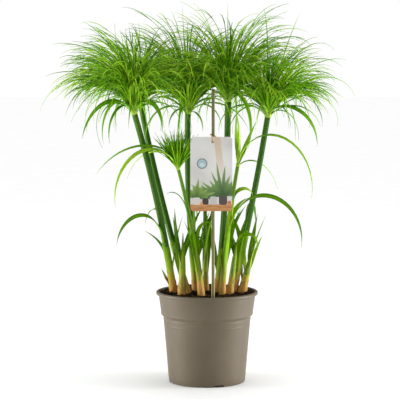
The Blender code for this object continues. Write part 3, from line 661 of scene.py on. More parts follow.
def sheath(line, radius, low, mouth, point, heading, layer):
    """A sheath round a stem, from the part `low` up to a mouth that rises to a point on one side.

    Its edge lies at mouth + (point - mouth) * ((1 + cos(a - heading)) / 2) ** 3, and closes on the stem.
    """
    share, angle = round_grid(SHEATH_RINGS, SHEATH_SIDES, 0.0, 1.0)
    lift = ((1 + np.cos(angle - math.radians(heading))) / 2) ** 3
    parts = low + share * (mouth + (point - mouth) * lift - low)
    stands_off = SHEATH_WALL * (1.2 + layer + 1.2 * share * lift)
    stands_off = np.where(share == 1, -SHEATH_WALL, stands_off)
    return sleeve(line, parts, radius(np.maximum(parts, 0)) + stands_off, angle)


papery = Finish("sheath_tan", 0.6, specular=0.3)
grain = papery.grain()
veins = papery.noise(papery.stretched(grain, (1.5, 8, 8)), 1.0, 4.0, 0.65)
patch = papery.noise(papery.stretched(grain, (14, 2, 2)), 1.0, 2.0)
dry = papery.ramp(
    veins, (0.3, paint(126, 74, 26)), (0.46, paint(196, 142, 66)), (0.7, paint(226, 192, 118))
)
fresh = papery.ramp(veins, (0.3, paint(66, 100, 8)), (0.7, paint(142, 162, 54)))
dried = papery.tint() + (patch - 0.5) * 0.8 - above_soil(papery) * 14.0
dryness = papery.step(dried, -0.45, 0.55)
papery.feed(papery.shader, {"Base Color": papery.mix(dryness, fresh, dry)})
papery.relief(veins, 0.0005)

for name, layers in SHEATHS.items():
    row = STEMS[name]
    line, radius = partial(stem_line, row), partial(stem_radius, row)
    tall = row[1][2] - soil_level(*row[0])
    shells = []
    for layer, (mouth, point, heading) in enumerate(layers):
        clasp = sheath(line, radius, SHEATH_LOW, mouth / tall, point / tall, heading, layer)
        shells.append((*clasp, 0.35 + 0.4 * layer))
    sheaths = piece(f"{name}_sheaths", shells, papery)
    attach(sheaths, "root")


# The shoots: three pointed bundles of rolled young leaves that have come up between the stems, wrapped
# in tan sheaths at the foot.
SHOOTS = {
    "shoot_left": ((-0.0465, -0.026), (-0.0445, -0.030, 0.282), 0, 0.0062),
    "shoot_middle": ((0.0420, -0.012), (0.0540, -0.010, 0.262), 0, 0.0052),
    "shoot_right": ((0.0650, 0.004), (0.0850, 0.002, 0.252), 0, 0.0068),
}
STALKS = STEMS | SHOOTS
SHOOT_TALL = 0.1
SHOOT_TIP = 0.0009
SHOOT_FOLD = 0.10
SHOOT_SHEATH_LOW = -0.04
# Each shoot's sheaths, as for the stems
SHOOT_SHEATHS = ((0.046, 0.084, 250), (0.024, 0.046, 330), (0.010, 0.026, 210))


def shoot_radius(row, part):
    """Radius up a shoot: it narrows slowly at first and then to its tip."""
    return np.interp(part, (0, 0.35, 0.7, 1), np.array([1, 0.8, 0.5, 0]) * row[-1]) + SHOOT_TIP / 2


def line_and_radius(name):
    """The line and the radius of a stem or shoot, as functions of the part of the way up it."""
    radius = stem_radius if name in STEMS else shoot_radius
    return partial(stem_line, STALKS[name]), partial(radius, STALKS[name])


for name, ((x, y), tip, *_) in SHOOTS.items():
    line, radius = line_and_radius(name)
    part, angle = round_grid(STEM_RINGS, STEM_SIDES, -BURIED / SHOOT_TALL, 1.0)
    fold = 1 + SHOOT_FOLD * np.cos(2 * angle + part * 5)
    shells = [(*sleeve(line, part, radius(np.maximum(part, 0)) * fold, angle), 0.9)]
    shoot = piece(f"{name}_roll", shells, culm)
    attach(shoot, "root")
    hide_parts(name)
    tall = tip[2] - soil_level(x, y)
    shells = []
    for layer, (mouth, point, heading) in enumerate(SHOOT_SHEATHS):
        heading += tip[0] * 900
        clasp = sheath(line, radius, SHOOT_SHEATH_LOW, mouth / tall, point / tall, heading, layer)
        shells.append((*clasp, 0.3 * layer))
    sheaths = piece(f"{name}_sheaths", shells, papery)
    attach(sheaths, "root")


# The leaves: 21 grassy blades, folded along the midrib into a shallow channel, each on a sheath that
# clasps its stem. They are glossy and bright, pale at the foot and on the midrib, and end in long points.
LEAF_RINGS = 25
# Each leaf: its stem, the height where it leaves it, heading, rise, droop, power, length and width
LEAVES = (
    ("stem_left_front", 0.262, 224, 87, 168, 1.00, 0.168, 0.0092),
    ("stem_left_front", 0.206, 181, 99, 74, 0.98, 0.093, 0.0050),
    ("stem_left_front", 0.180, 190, 66, 0, 1.00, 0.036, 0.0046),
    ("shoot_left", 0.226, 192, 80, -12, 1.60, 0.102, 0.0096),
    ("shoot_left", 0.258, 350, 66, 120, 1.20, 0.050, 0.0034),
    ("young_stem_left", 0.292, 222, 79, 100, 2.31, 0.100, 0.0052),
    ("young_stem_left", 0.228, 8, 98, 190, 4.00, 0.098, 0.0086),
    ("stem_middle", 0.229, 285, 86, 0, 1.00, 0.105, 0.0070),
    ("young_stem_right", 0.292, 326, 77, 176, 1.02, 0.239, 0.0084),
    ("young_stem_right", 0.268, 22, 89, 72, 1.75, 0.092, 0.0096),
    ("young_stem_right", 0.345, 20, 84, 156, 1.00, 0.052, 0.0060),
    ("shoot_middle", 0.246, 345, 90, 215, 1.50, 0.078, 0.0078),
    ("young_stem_right", 0.205, 210, 92, 10, 1.00, 0.046, 0.0060),
    ("stem_right", 0.206, 215, 84, 0, 1.00, 0.034, 0.0044),
    ("shoot_right", 0.200, 16, 90, 12, 0.50, 0.114, 0.0092),
    ("shoot_right", 0.208, 329, 87, 22, 0.50, 0.110, 0.0062),
    ("shoot_right", 0.196, 54, 74, 27, 0.50, 0.088, 0.0056),
    ("stem_left_back", 0.262, 115, 68, 130, 1.20, 0.160, 0.0080),
    ("stem_middle", 0.272, 85, 76, 150, 1.10, 0.175, 0.0080),
    ("stem_right_middle", 0.246, 72, 74, 120, 1.30, 0.150, 0.0070),
    ("stem_right", 0.280, 80, 74, 150, 1.00, 0.165, 0.0080),
)
# Narrow inner leaves that stand beside some of those: the number of the leaf, and then the same values
NARROW_LEAVES = (
    (4, "shoot_left", 0.200, 120, 82, 16, 1.20, 0.112, 0.0086),
    (4, "stem_left_front", 0.212, 330, 85, 14, 1.00, 0.100, 0.0083),
    (6, "young_stem_left", 0.200, 340, 85, 10, 1.00, 0.118, 0.0089),
    (6, "young_stem_left", 0.206, 205, 84, 18, 1.20, 0.104, 0.0083),
    (8, "stem_middle", 0.205, 350, 84, 12, 1.00, 0.118, 0.0079),
    (8, "young_stem_middle", 0.200, 250, 86, 14, 1.20, 0.104, 0.0069),
    (9, "young_stem_right", 0.204, 300, 86, 12, 1.00, 0.108, 0.0086),
    (10, "young_stem_right", 0.215, 55, 80, 34, 1.20, 0.118, 0.0083),
    (12, "shoot_middle", 0.205, 48, 78, 24, 1.20, 0.132, 0.0086),
    (14, "stem_right", 0.215, 165, 84, 14, 1.00, 0.120, 0.0079),
    (15, "shoot_right", 0.190, 160, 84, 16, 1.00, 0.092, 0.0086),
    (15, "stem_right", 0.202, 300, 84, 22, 1.00, 0.104, 0.0083),
    (18, "stem_left_back", 0.215, 30, 82, 30, 1.20, 0.120, 0.0083),
    (19, "stem_middle", 0.210, 20, 82, 24, 1.00, 0.135, 0.0083),
    (19, "young_stem_middle", 0.196, 60, 87, 10, 1.00, 0.128, 0.0076),
    (20, "stem_right_middle", 0.205, 150, 84, 16, 1.00, 0.128, 0.0083),
    (20, "stem_right_middle", 0.212, 20, 82, 30, 1.20, 0.126, 0.0079),
    (21, "shoot_right", 0.205, 120, 80, 44, 1.40, 0.126, 0.0083),
)
LEAF_SHEATH = 0.030
LEAF_SHEATH_LOW = 0.04
LEAF_POINT = 0.006
# The gap between a stem and the foot of a blade
STAND_OFF = 0.0004
BLADE_THICKNESS = 0.0007
BLADE_ROLL = math.radians(55)
ROLL_SPEED = 2.5
FINE_STEPS = 48
# How much wider a blade is here than on its solid
LEAF_FULLNESS = 0.0024
# A blade's section, in half widths across and thicknesses up: edge, upper face, edge, keeled lower face
BLADE_SECTION = ((1, 0), (0.5, 0.5), (0, 0.4), (-0.5, 0.5), (-1, 0), (-0.5, -0.5), (0, -1.3), (0.5, -0.5))
BLADE_FOLD = 0.30


def level(heading):
    """The level direction of a heading in radians: 0 is +X, a quarter turn is +Y."""
    return np.stack([np.cos(heading), np.sin(heading), heading * 0], -1)


def blade_lines(start, heading, rise, droop, power, length, swirl, rings):
    """Points along blades. At the part s of its length a blade climbs at rise - droop * s ** power, in
    degrees, towards heading + swirl * s. The values are arrays, with one number for each blade."""
    part = (np.arange(FINE_STEPS) + 0.5) / FINE_STEPS
    climb = np.radians(rise[:, None] - droop[:, None] * part ** power[:, None])
    way = np.radians(heading[:, None] + swirl[:, None] * part)
    steps = level(way) * np.cos(climb)[..., None] + np.array([0, 0, 1]) * np.sin(climb)[..., None]
    walked = np.cumsum(steps * length[:, None, None] / FINE_STEPS, axis=1)
    line = start[:, None] + np.concatenate([walked[:, :1] * 0, walked], axis=1)
    return line[:, :: FINE_STEPS // (rings - 1)]


def blade_half(part, width, fullest, tip):
    """Half widths: 0.6 of full at the root, full at the part `fullest`, then 1 - (...) ** 1.6 to the tip."""
    fade = 1 - np.maximum(0, (part - fullest) / (1 - fullest)) ** 1.6
    return width[:, None] / 2 * (0.6 + 0.4 * np.minimum(1, part / fullest)) * np.maximum(fade, tip)


def blades(line, heading, width, fullest, tip, thickness, section=BLADE_SECTION, fold=BLADE_FOLD):
    """Closed blades along lines, and their grain: the section set across each line at every point.

    A point of the section lies at line + half * x * side + (thickness * y + fold * half * |x|) * over. The
    blade rolls as it leaves its root, by up to BLADE_ROLL * cos(heading), which turns its face to the front
    at 1 / ROLL_SPEED of its length.
    """
    count, rings, _ = line.shape
    half = blade_half(np.linspace(0, 1, rings), np.broadcast_to(width, count), fullest, tip)
    along = unit(np.gradient(line, axis=1))
    side = np.repeat(level(np.radians(heading) + math.pi / 2)[:, None], rings, axis=1)
    over = unit(np.cross(along, side))
    side = np.cross(over, along)
    part = np.linspace(0, 1, rings)
    roll = BLADE_ROLL * np.cos(np.radians(heading))[:, None] * np.minimum(1, ROLL_SPEED * part)
    cos, sin = np.cos(roll)[..., None], np.sin(roll)[..., None]
    side, over = side * cos + over * sin, over * cos - side * sin
    x, y = np.array(section, float).T
    thin = np.broadcast_to(thickness, count)[:, None] * (1 - 0.6 * part)
    wide = half[..., None] * x
    lift = thin[..., None] * y + fold * half[..., None] * np.abs(x)
    tubes = line[:, :, None] + side[:, :, None] * wide[..., None] + over[:, :, None] * lift[..., None]
    return tubes, np.stack(np.broadcast_arrays(part[None, :, None], x, y, wide)[:3], -1)


def leaf_blade(stem, height, *shape):
    """One leaf's blade, from where it leaves its stem at a height."""
    line, radius = line_and_radius(stem)
    mouth = part_at(STALKS[stem], height)
    heading, rise, droop, power, length, width = np.array(shape, float)[:, None]
    start = line(mouth) + level(np.radians(heading)) * (radius(mouth) + STAND_OFF)
    path = blade_lines(start, heading, rise, droop, power, length, heading * 0, LEAF_RINGS)
    return blades(path, heading, width + LEAF_FULLNESS, 0.3, 0.05, BLADE_THICKNESS)


def leaf_finish(name, painted_depth_shade, *colours):
    """Green living blades: parallel veins, a pale midrib, a paler foot and a faintly dry tip. Between the
    foot and the middle a painted shade darkens them, by the share given after the name, for the shade
    where the blades crowd together."""
    dark, middle, light, foot, bluish = (paint(*colour) for colour in colours)
    made = Finish(name, 0.42, specular=0.16, gloss=(0.75, 1, 0.35))
    grain, tint = made.grain(), made.tint()
    along, across, _ = made.parts(grain)
    veins = made.noise(made.stretched(grain, (2.5, 11, 0.1)), 1.0, 3.0, 0.6)
    patches = made.noise(made.at(), 60.0, 2.0)
    shade = tint * 0.75 + veins * 0.35 + patches * 0.35 - 0.28
    colour = made.ramp(shade, (0.1, dark), (0.42, middle), (0.8, light))
    colour = made.mix(made.step(tint, 0.93, 1.0) * 0.6, colour, bluish)
    # Painted shade: darkens the inner part of each blade, near its foot, as if shaded by the blades round it
    colour = made.mix((made.step(along, 0.04, 0.2) - made.step(along, 0.3, 0.65)) * painted_depth_shade, colour, dark)
    midrib = 1 - made.step(abs(across), 0.03, 0.16)
    colour = made.mix(midrib * 0.45, colour, light)
    colour = made.mix(1 - made.step(along, 0.0, 0.16), colour, foot)
    colour = made.mix(made.step(along, 0.93, 1.0) * 0.55, colour, paint(150, 140, 66))
    height = above_soil(made) + (patches - 0.5) * 0.05 + (veins - 0.5) * 0.03
    colour = made.mix((1 - made.step(height, 0.03, 0.10)) * 0.7, colour, paint(158, 172, 60))
    colour = made.mix(1 - made.step(height, 0.006, 0.052), colour, paint(196, 146, 74))
    made.feed(made.shader, {"Base Color": colour, "Roughness": 0.36 + veins * 0.14})
    made.relief(veins, 0.0003)
    return made


leaf_colours = ((42, 94, 0), (96, 150, 2), (168, 204, 44), (122, 158, 30), (64, 128, 26))
# The leaves get 0.15 of painted shade over their inner parts, near the stems
leaf_green = leaf_finish("leaf_green", 0.15, *leaf_colours)
leaf_rng = np.random.default_rng(11)
for number, row in enumerate(LEAVES, start=1):
    stem, height, heading, *_ = row
    stalk = STALKS[stem]
    low = min(part_at(stalk, height - LEAF_SHEATH), LEAF_SHEATH_LOW)
    mouth, point = part_at(stalk, height - LEAF_POINT), part_at(stalk, height + LEAF_POINT)
    clasp = sheath(*line_and_radius(stem), low, mouth, point, -heading, 0.4)
    fresh = leaf_rng.uniform(0.25, 0.85)
    shells = [(*leaf_blade(*row), fresh), (clasp[0], clasp[1] * (0, 1, 1) + (0.12, 0, 0), fresh)]
    beside = [narrow for leaf, *narrow in NARROW_LEAVES if leaf == number]
    shells += [(*leaf_blade(*narrow), leaf_rng.uniform(0.1, 0.6)) for narrow in beside]
    leaf = piece(f"leaf_{number:02d}_blade", shells, leaf_green)
    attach(leaf, "root")
    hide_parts(f"leaf_{number:02d}")


# The tall heads: from a pale knob on each stem hundreds of thin rays spread like a mop. They rise in a cone
# and arch over, and each parts into a finer thread. Wider bracts grow between them and hang at the foot.
BRACT_RINGS = 17
# Each bract: its heading, rise, droop, power, length and width
BRACTS = {
    "head_left_front": (
        (225, 55, 131, 0.74, 0.158, 0.0088),
        (245, 31, 147, 1.55, 0.170, 0.0060),
        (130, 71, 187, 0.80, 0.092, 0.0052),
        (230, 64, 170, 0.60, 0.114, 0.0046),
        (310, 59, 159, 0.88, 0.118, 0.0096),
        (145, 85, 213, 0.67, 0.174, 0.0022),
        (180, 58, 132, 1.25, 0.212, 0.0024),
        (172, 57, 109, 3.50, 0.175, 0.0020),
        (190, 70, -17, 1.00, 0.160, 0.0020),
        (285, 60, 150, 1.10, 0.165, 0.0030),
    ),
    "head_left_back": (
        (20, 86, 110, 4.00, 0.159, 0.0020),
        (120, 62, 165, 0.80, 0.160, 0.0060),
        (62, 66, 150, 0.80, 0.140, 0.0045),
        (152, 56, 150, 1.00, 0.170, 0.0040),
        (95, 80, 40, 2.00, 0.170, 0.0020),
        (190, 62, 120, 2.00, 0.180, 0.0020),
    ),
    "head_middle": (
        (215, 52, 146, 0.60, 0.061, 0.0030),
        (320, 30, 128, 0.60, 0.055, 0.0030),
        (170, 87, 0, 1.00, 0.193, 0.0020),
        (100, 62, 165, 0.75, 0.160, 0.0065),
        (140, 60, 150, 0.90, 0.150, 0.0040),
        (50, 64, 150, 0.90, 0.150, 0.0040),
        (265, 78, 60, 2.00, 0.175, 0.0020),
    ),
    "head_right_middle": (
        (305, 69, 186, 0.50, 0.147, 0.0072),
        (200, 50, 128, 0.60, 0.076, 0.0030),
        (90, 84, 12, 1.00, 0.180, 0.0020),
        (80, 62, 165, 0.75, 0.165, 0.0060),
        (120, 60, 150, 0.90, 0.140, 0.0040),
        (250, 70, 110, 1.60, 0.165, 0.0022),
        (290, 66, 120, 1.40, 0.160, 0.0022),
    ),
    "head_right": (
        (345, 64, 155, 0.60, 0.137, 0.0080),
        (10, 41, 144, 1.70, 0.173, 0.0020),
        (203, 43, 106, 1.48, 0.080, 0.0025),
        (8, 50, 121, 2.00, 0.198, 0.0022),
        (4, 69, 127, 3.50, 0.199, 0.0022),
        (100, 89, 60, 4.00, 0.206, 0.0020),
        (15, 79, 14, 1.00, 0.196, 0.0020),
        (60, 62, 160, 0.80, 0.165, 0.0060),
        (286, 60, 150, 1.10, 0.160, 0.0030),
    ),
}
RAY_COUNT = 270
RAY_CONE = math.radians(48)
RAY_LEAST_RISE = 53
# The longest rays at the middle, half way out and at the edge of the cone, and the shortest as a share
RAY_LENGTHS = (0.208, 0.186, 0.138)
RAY_SHORTEST = 0.76
# How far each head's rays reach, as a share of those lengths
HEAD_REACH = {
    "head_left_front": 0.92,
    "head_left_back": 0.96,
    "head_middle": 1.08,
    "head_right_middle": 1.06,
    "head_right": 0.82,
}
RAY_WIDTHS = (0.0024, 0.0040)
RAY_THICKNESS = 0.0012
RAY_SECTION = ((1, 0.4), (-1, 0.4), (0, -0.8))
RAY_RINGS = 13
THREAD_RINGS = 9
THREAD_LENGTHS = (0.040, 0.074)
THREAD_WIDTH = 0.0020
THREAD_THICKNESS = 0.0008
BRACT_FULLNESS = 0.0012
HANGING = 8
HANGING_LENGTHS = (0.095, 0.145)
HANGING_WIDTHS = (0.0032, 0.0054)
GOLDEN = 2.399963
# Where the rays and the bracts leave their knob, as shares of its radius
RAYS_FROM = 0.7
BRACTS_FROM = 0.8
# A blade that would leave the solids' box is made shorter by this share, up to so many times
SHRINK = 0.94
SHRINKS = 12


def head_place(name):
    """The middle of a head, and the way that its stem points."""
    (x, y), head, *_ = STEMS[name.replace("head", "stem")]
    return np.array(head), unit(np.array(head) - np.array([x, y, SOIL_HEIGHT]))


def knob(centre, axis, size):
    """A knob at a stem's top: at the height h * size its radius is 0.9 * size * sqrt(1 - h^2)."""
    height, angle = round_grid(8, 14, -0.9, 0.9)
    radius = size * np.sqrt(1 - height**2) * 0.9
    tube = centre + axis * (height * size)[..., None] + around(axis, angle) * radius[..., None]
    return tube[None], np.array([0.0, 0.5, 0])


def grown(start, heading, rise, droop, power, length, swirl, rings):
    """Blade lines as by blade_lines, each made shorter until it keeps inside the solids' box."""
    low, high = np.array(solid_box)
    for _ in range(SHRINKS):
        line = blade_lines(start, heading, rise, droop, power, length, swirl, rings)
        kept = ((line >= low) & (line <= high)).all(axis=(1, 2))
        if kept.all():
            break
        length = np.where(kept, length, length * SHRINK)
    return line


def rays(centre, axis, reach, rng):
    """A head's rays: directions evenly spread over a cone round the axis by the golden angle.

    They rise by RAY_LEAST_RISE degrees or more, and the outer ones are shorter and droop most. Gives the
    shell of the rays, and the lines and bends that their threads start from.
    """
    number = (np.arange(RAY_COUNT) + 0.5) / RAY_COUNT
    off = np.arccos(1 - number * (1 - math.cos(RAY_CONE)))
    ring = around(axis, np.arange(RAY_COUNT) * GOLDEN)
    out = np.sin(off)[:, None] * ring + np.cos(off)[:, None] * axis
    heading = np.degrees(np.arctan2(out[:, 1], out[:, 0])) + rng.uniform(-6, 6, RAY_COUNT)
    rise = np.maximum(np.degrees(np.arcsin(out[:, 2])), RAY_LEAST_RISE) + rng.uniform(-4, 5, RAY_COUNT)
    share = off / RAY_CONE
    droop = (74 + 58 * share) * rng.uniform(0.7, 1.25, RAY_COUNT)
    power = rng.uniform(1.7, 3.0, RAY_COUNT)
    length = reach * np.interp(share, (0, 0.5, 1), RAY_LENGTHS) * rng.uniform(RAY_SHORTEST, 1, RAY_COUNT)
    swirl = rng.uniform(-15, 15, RAY_COUNT)
    start = centre + out * TALL_HUB * RAYS_FROM
    line = grown(start, heading, rise, droop, power, length, swirl, RAY_RINGS)
    width = rng.uniform(*RAY_WIDTHS, RAY_COUNT)
    shell = blades(line, heading, width, 0.12, 0.18, RAY_THICKNESS, RAY_SECTION, 0.0)
    return shell, (line, heading, rise, droop, power)


def threads(line, heading, rise, droop, power, rng):
    """The finer thread that each ray parts into: it leaves between 0.5 and 0.83 of the ray's length, near
    the ray's own climb there, and arches away to one side."""
    ring = rng.integers(6, 11, RAY_COUNT)
    climb = rise - droop * (ring / (RAY_RINGS - 1)) ** power
    aside = rng.uniform(3, 13, RAY_COUNT) * rng.choice([-1, 1], RAY_COUNT)
    length = rng.uniform(*THREAD_LENGTHS, RAY_COUNT)
    bend = rng.uniform(20, 64, RAY_COUNT)
    climb = climb + rng.uniform(-2, 10, RAY_COUNT)
    power = rng.uniform(1.0, 2.0, RAY_COUNT)
    start = line[np.arange(RAY_COUNT), ring]
    path = grown(start, heading + aside, climb, bend, power, length, aside, THREAD_RINGS)
    tubes, grain = blades(path, heading, THREAD_WIDTH, 0.2, 0.15, THREAD_THICKNESS, RAY_SECTION, 0.0)
    return tubes, grain * (0.6, 1, 1) + (0.38, 0, 0)


def bracts(name, centre, rows):
    """The wider blades of a head, along the same lines as its solid's."""
    heading, rise, droop, power, length, width = np.array(rows, float).T
    steep = np.radians(np.clip((rise - 36) * 1.6, 0, 84))
    out = level(np.radians(heading)) * np.cos(steep)[:, None] + np.array([0, 0, 1]) * np.sin(steep)[:, None]
    size = YOUNG_HUB if name.startswith("young") else TALL_HUB
    start = centre + out * size * BRACTS_FROM
    line = grown(start, heading, rise, droop, power, length, heading * 0, BRACT_RINGS)
    return blades(line, heading, width + BRACT_FULLNESS, 0.25, 0.05, np.minimum(width / 3, BLADE_THICKNESS))


def hanging(centre, rng):
    """The hanging bracts at the foot of a head, evenly spread: each climbs and then bends right over."""
    heading = np.arange(HANGING) * 360 / HANGING + rng.uniform(-18, 18, HANGING)
    start = centre + level(np.radians(heading)) * TALL_HUB * RAYS_FROM
    rise, droop = rng.uniform(44, 60, HANGING), rng.uniform(118, 150, HANGING)
    power, length = rng.uniform(0.7, 1.1, HANGING), rng.uniform(*HANGING_LENGTHS, HANGING)
    line = grown(start, heading, rise, droop, power, length, heading * 0, BRACT_RINGS)
    return blades(line, heading, rng.uniform(*HANGING_WIDTHS, HANGING), 0.25, 0.05, BLADE_THICKNESS)


head_colours = ((42, 104, 0), (118, 184, 8), (184, 222, 60), (146, 180, 66), (92, 166, 30))
# The heads get 0.40 of painted shade over the inner parts of their rays, deep in the crown
head_green = leaf_finish("head_green", 0.40, *head_colours)
for order, (name, rows) in enumerate(BRACTS.items()):
    rng = np.random.default_rng(40 + order)
    centre, axis = head_place(name)
    ray_shell, forks = rays(centre, axis, HEAD_REACH[name], rng)
    ray_tints = rng.uniform(0, 0.9, RAY_COUNT)
    shells = [
        (*knob(centre, axis, TALL_HUB), 0.6),
        (*ray_shell, ray_tints),
        (*threads(*forks, rng), ray_tints),
        (*bracts(name, centre, rows), rng.uniform(0.25, 0.7, len(rows))),
        (*hanging(centre, rng), rng.uniform(0.15, 0.7, HANGING)),
    ]
    head = piece(f"{name}_rays", shells, head_green)
    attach(head, "root")
    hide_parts(name)


# The young heads: the left one is a dense tuft of short, broad rays with three long bracts, the right
# one has only its bracts yet, and the middle one is a small closed tuft.
YOUNG_BRACTS = {
    "young_head_left": (
        (196, 90, 145, 0.55, 0.188, 0.0046),
        (220, 63, 163, 0.87, 0.220, 0.0080),
        (142, 68, 137, 0.70, 0.152, 0.0046),
    ),
    "young_head_right": (
        (323, 81, 181, 0.83, 0.260, 0.0050),
        (300, 80, -44, 1.80, 0.100, 0.0096),
        (40, 64, 6, 1.20, 0.086, 0.0074),
        (42, 36, 105, 0.68, 0.125, 0.0044),
        (165, 84, -8, 1.00, 0.090, 0.0056),
        (95, 74, 0, 1.00, 0.070, 0.0060),
    ),
    "young_head_middle": (),
}
TUFT_LENGTHS = {"young_head_left": (0.040, 0.076), "young_head_middle": (0.030, 0.046)}
TUFT_COUNT = 170
TUFT_WIDTH = 0.0037


def tuft(centre, lengths, rng):
    """A closed tuft: steep rays, evenly spread by the golden angle, that part only a little at their tips."""
    number = (np.arange(TUFT_COUNT) + 0.5) / TUFT_COUNT
    heading = np.degrees(np.arange(TUFT_COUNT) * GOLDEN)
    rise = 88 - 38 * number + rng.uniform(-5, 5, TUFT_COUNT)
    out = level(np.radians(heading)) * np.sqrt(number)[:, None] + np.array([0, 0, 0.4])
    droop, length = rng.uniform(-30, 36, TUFT_COUNT), rng.uniform(*lengths, TUFT_COUNT)
    swirl, power = rng.uniform(-20, 20, TUFT_COUNT), np.full(TUFT_COUNT, 1.3)
    start = centre + out * YOUNG_HUB * RAYS_FROM
    line = grown(start, heading, rise, droop, power, length, swirl, RAY_RINGS)
    width = rng.uniform(0.6, 1.1, TUFT_COUNT) * TUFT_WIDTH
    return blades(line, heading, width, 0.3, 0.06, THREAD_THICKNESS)


for order, (name, rows) in enumerate(YOUNG_BRACTS.items()):
    rng = np.random.default_rng(60 + order)
    centre, axis = head_place(name)
    shells = [(*knob(centre, axis, YOUNG_HUB), 0.6)]
    if name in TUFT_LENGTHS:
        shells.append((*tuft(centre, TUFT_LENGTHS[name], rng), rng.uniform(0, 0.7, TUFT_COUNT)))
    if rows:
        shells.append((*bracts(name, centre, rows), rng.uniform(0.5, 0.95, len(rows))))
    head = piece(f"{name}_blades", shells, head_green)
    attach(head, "root")
    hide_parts(name)


# The cane: a split length of bamboo, stained olive on its rounded face and pale along its cut edges,
# with two worn joints. Its right half is a paler grey-green, painted light where the lamps fall on it.
# It was pushed into the soil to carry the card.
stake_low, stake_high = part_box("label_stake")
CANE_RADIUS = (stake_high.x - stake_low.x) / 2
CANE_X = (stake_high.x + stake_low.x) / 2
CANE_Y = (stake_high.y + stake_low.y) / 2
JOINT_HEIGHTS = (0.262, 0.420)


def cane_line(part):
    """Points up the cane: low + (high - low) * part."""
    part = np.asarray(part, float)[..., None]
    low, high = np.array([CANE_X, CANE_Y, stake_low.z]), np.array([CANE_X, CANE_Y, stake_high.z])
    return low + (high - low) * part


bamboo = Finish("cane", 0.55, specular=0.35)
grain = bamboo.grain()
right = bamboo.parts(grain)[1]
strands = bamboo.noise(bamboo.stretched(grain, (3, 14, 14)), 1.0, 4.0, 0.6)
olive = bamboo.ramp(strands, (0.3, paint(56, 48, 12)), (0.5, paint(86, 80, 30)), (0.7, paint(122, 120, 66)))
painted_lit_grey = bamboo.ramp(strands, (0.3, paint(76, 82, 46)), (0.7, paint(136, 140, 100)))
# Painted light: the right half of the cane turns a paler grey-green, as its lit side
stain_and_painted_light = bamboo.mix(bamboo.step(right, -0.1, 0.5), olive, painted_lit_grey)
edge = bamboo.step(abs(right), 0.72, 0.92)
low_down = 1 - bamboo.step(above_soil(bamboo), 0.03, 0.10)
stain_and_painted_light = bamboo.mix(edge * (0.12 + low_down * 0.7), stain_and_painted_light, paint(206, 186, 106))
bamboo.feed(bamboo.shader, {"Base Color": stain_and_painted_light})
bamboo.relief(strands, 0.0004)

part, angle = round_grid(90, 20, 0.0, 1.0)
up_the_cane = stake_low.z + (stake_high.z - stake_low.z) * part
swell = sum(np.exp(-(((up_the_cane - joint) / 0.0022) ** 2)) for joint in JOINT_HEIGHTS)
section = 1 - 0.16 * np.maximum(0, np.sin(angle)) ** 2
cane_shell = sleeve(cane_line, part, CANE_RADIUS * 0.93 * section * (1 + 0.07 * swell), angle)
cane = piece("split_cane", [(*cane_shell, 0.0)], bamboo)
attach(cane, "root")
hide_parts("label_stake")


# The card: coated board with a punched hole, printed on its front and plain behind. The print is a
# generic one: plants in plain pots on a brown board, and a disc on a pale wall with a slanting beam.
card_low, card_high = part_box("label_card")
CARD_MIDDLE = (card_low + card_high) / 2
CARD_HALF = (card_high - card_low) / 2
# Each printed shape: its middle and its half size in half card widths, its power (2 is an oval, 5 is
# nearly a rectangle) and its colour
PRINTED = (
    ((-0.44, 0.50), (0.25, 0.25), 2, (70, 78, 84)),
    ((-0.44, 0.50), (0.215, 0.215), 2, (158, 184, 190)),
    ((-0.44, 0.44), (0.13, 0.10), 2, (196, 208, 208)),
    ((-0.70, -1.30), (0.17, 0.18), 5, (206, 198, 190)),
    ((-0.28, -1.32), (0.15, 0.14), 5, (58, 44, 38)),
    ((0.10, -1.27), (0.17, 0.20), 5, (188, 184, 180)),
    ((0.56, -1.25), (0.20, 0.22), 5, (74, 66, 60)),
    ((0.86, -1.37), (0.10, 0.10), 2, (204, 112, 64)),
    ((-0.47, -1.40), (0.07, 0.07), 2, (214, 148, 96)),
)
# Each printed plant: its root, the number of leaves in a half turn, their reach, half width and colours
PRINTED_PLANTS = (
    ((0.10, -1.10), 9, 0.90, 0.080, (22, 60, 14), (110, 152, 66)),
    ((0.56, -1.06), 12, 1.70, 0.060, (24, 64, 20), (128, 164, 84)),
    ((-0.28, -1.20), 6, 0.55, 0.080, (20, 54, 32), (80, 128, 78)),
    ((-0.70, -1.15), 8, 0.95, 0.070, (40, 84, 24), (144, 172, 80)),
)

ink = Finish("card", 0.38, coat=0.2)
x, y, z = ink.parts(ink.at())
across = (x - CARD_MIDDLE.x) / CARD_HALF.x
upward = (z - CARD_MIDDLE.z) / CARD_HALF.x


def blot(middle, size, power):
    """1 inside a shape of the print and 0 outside it: its rim is where |u/a|^power + |v/b|^power is 1."""
    u = (across - middle[0]) / size[0]
    v = (upward - middle[1]) / size[1]
    return 1 - ink.step(abs(u) ** power + abs(v) ** power, 0.8, 1.15)


def spray(root, count, reach, half):
    """Leaves that spread from a root. At the distance r from it and the angle a, r * |sin(count * a)| /
    count is the distance from a leaf's midrib, and a leaf is 4 * half * (r/R) * (1 - r/R) wide."""
    u, v = across - root[0], upward - root[1]
    distance, angle = (u * u + v * v) ** 0.5, v.math("ARCTAN2", v, u)
    ends = reach * (0.8 + 0.2 * angle.math("SINE", angle * 5.3 + root[0] * 9))
    share = distance / ends
    off = abs(angle.math("SINE", angle * count + share * 0.9)) * distance / count
    inside = ink.step(share * (1 - share) * 4 * half - off, -0.008, 0.012)
    return inside * ink.step(v, -0.02, 0.02), share


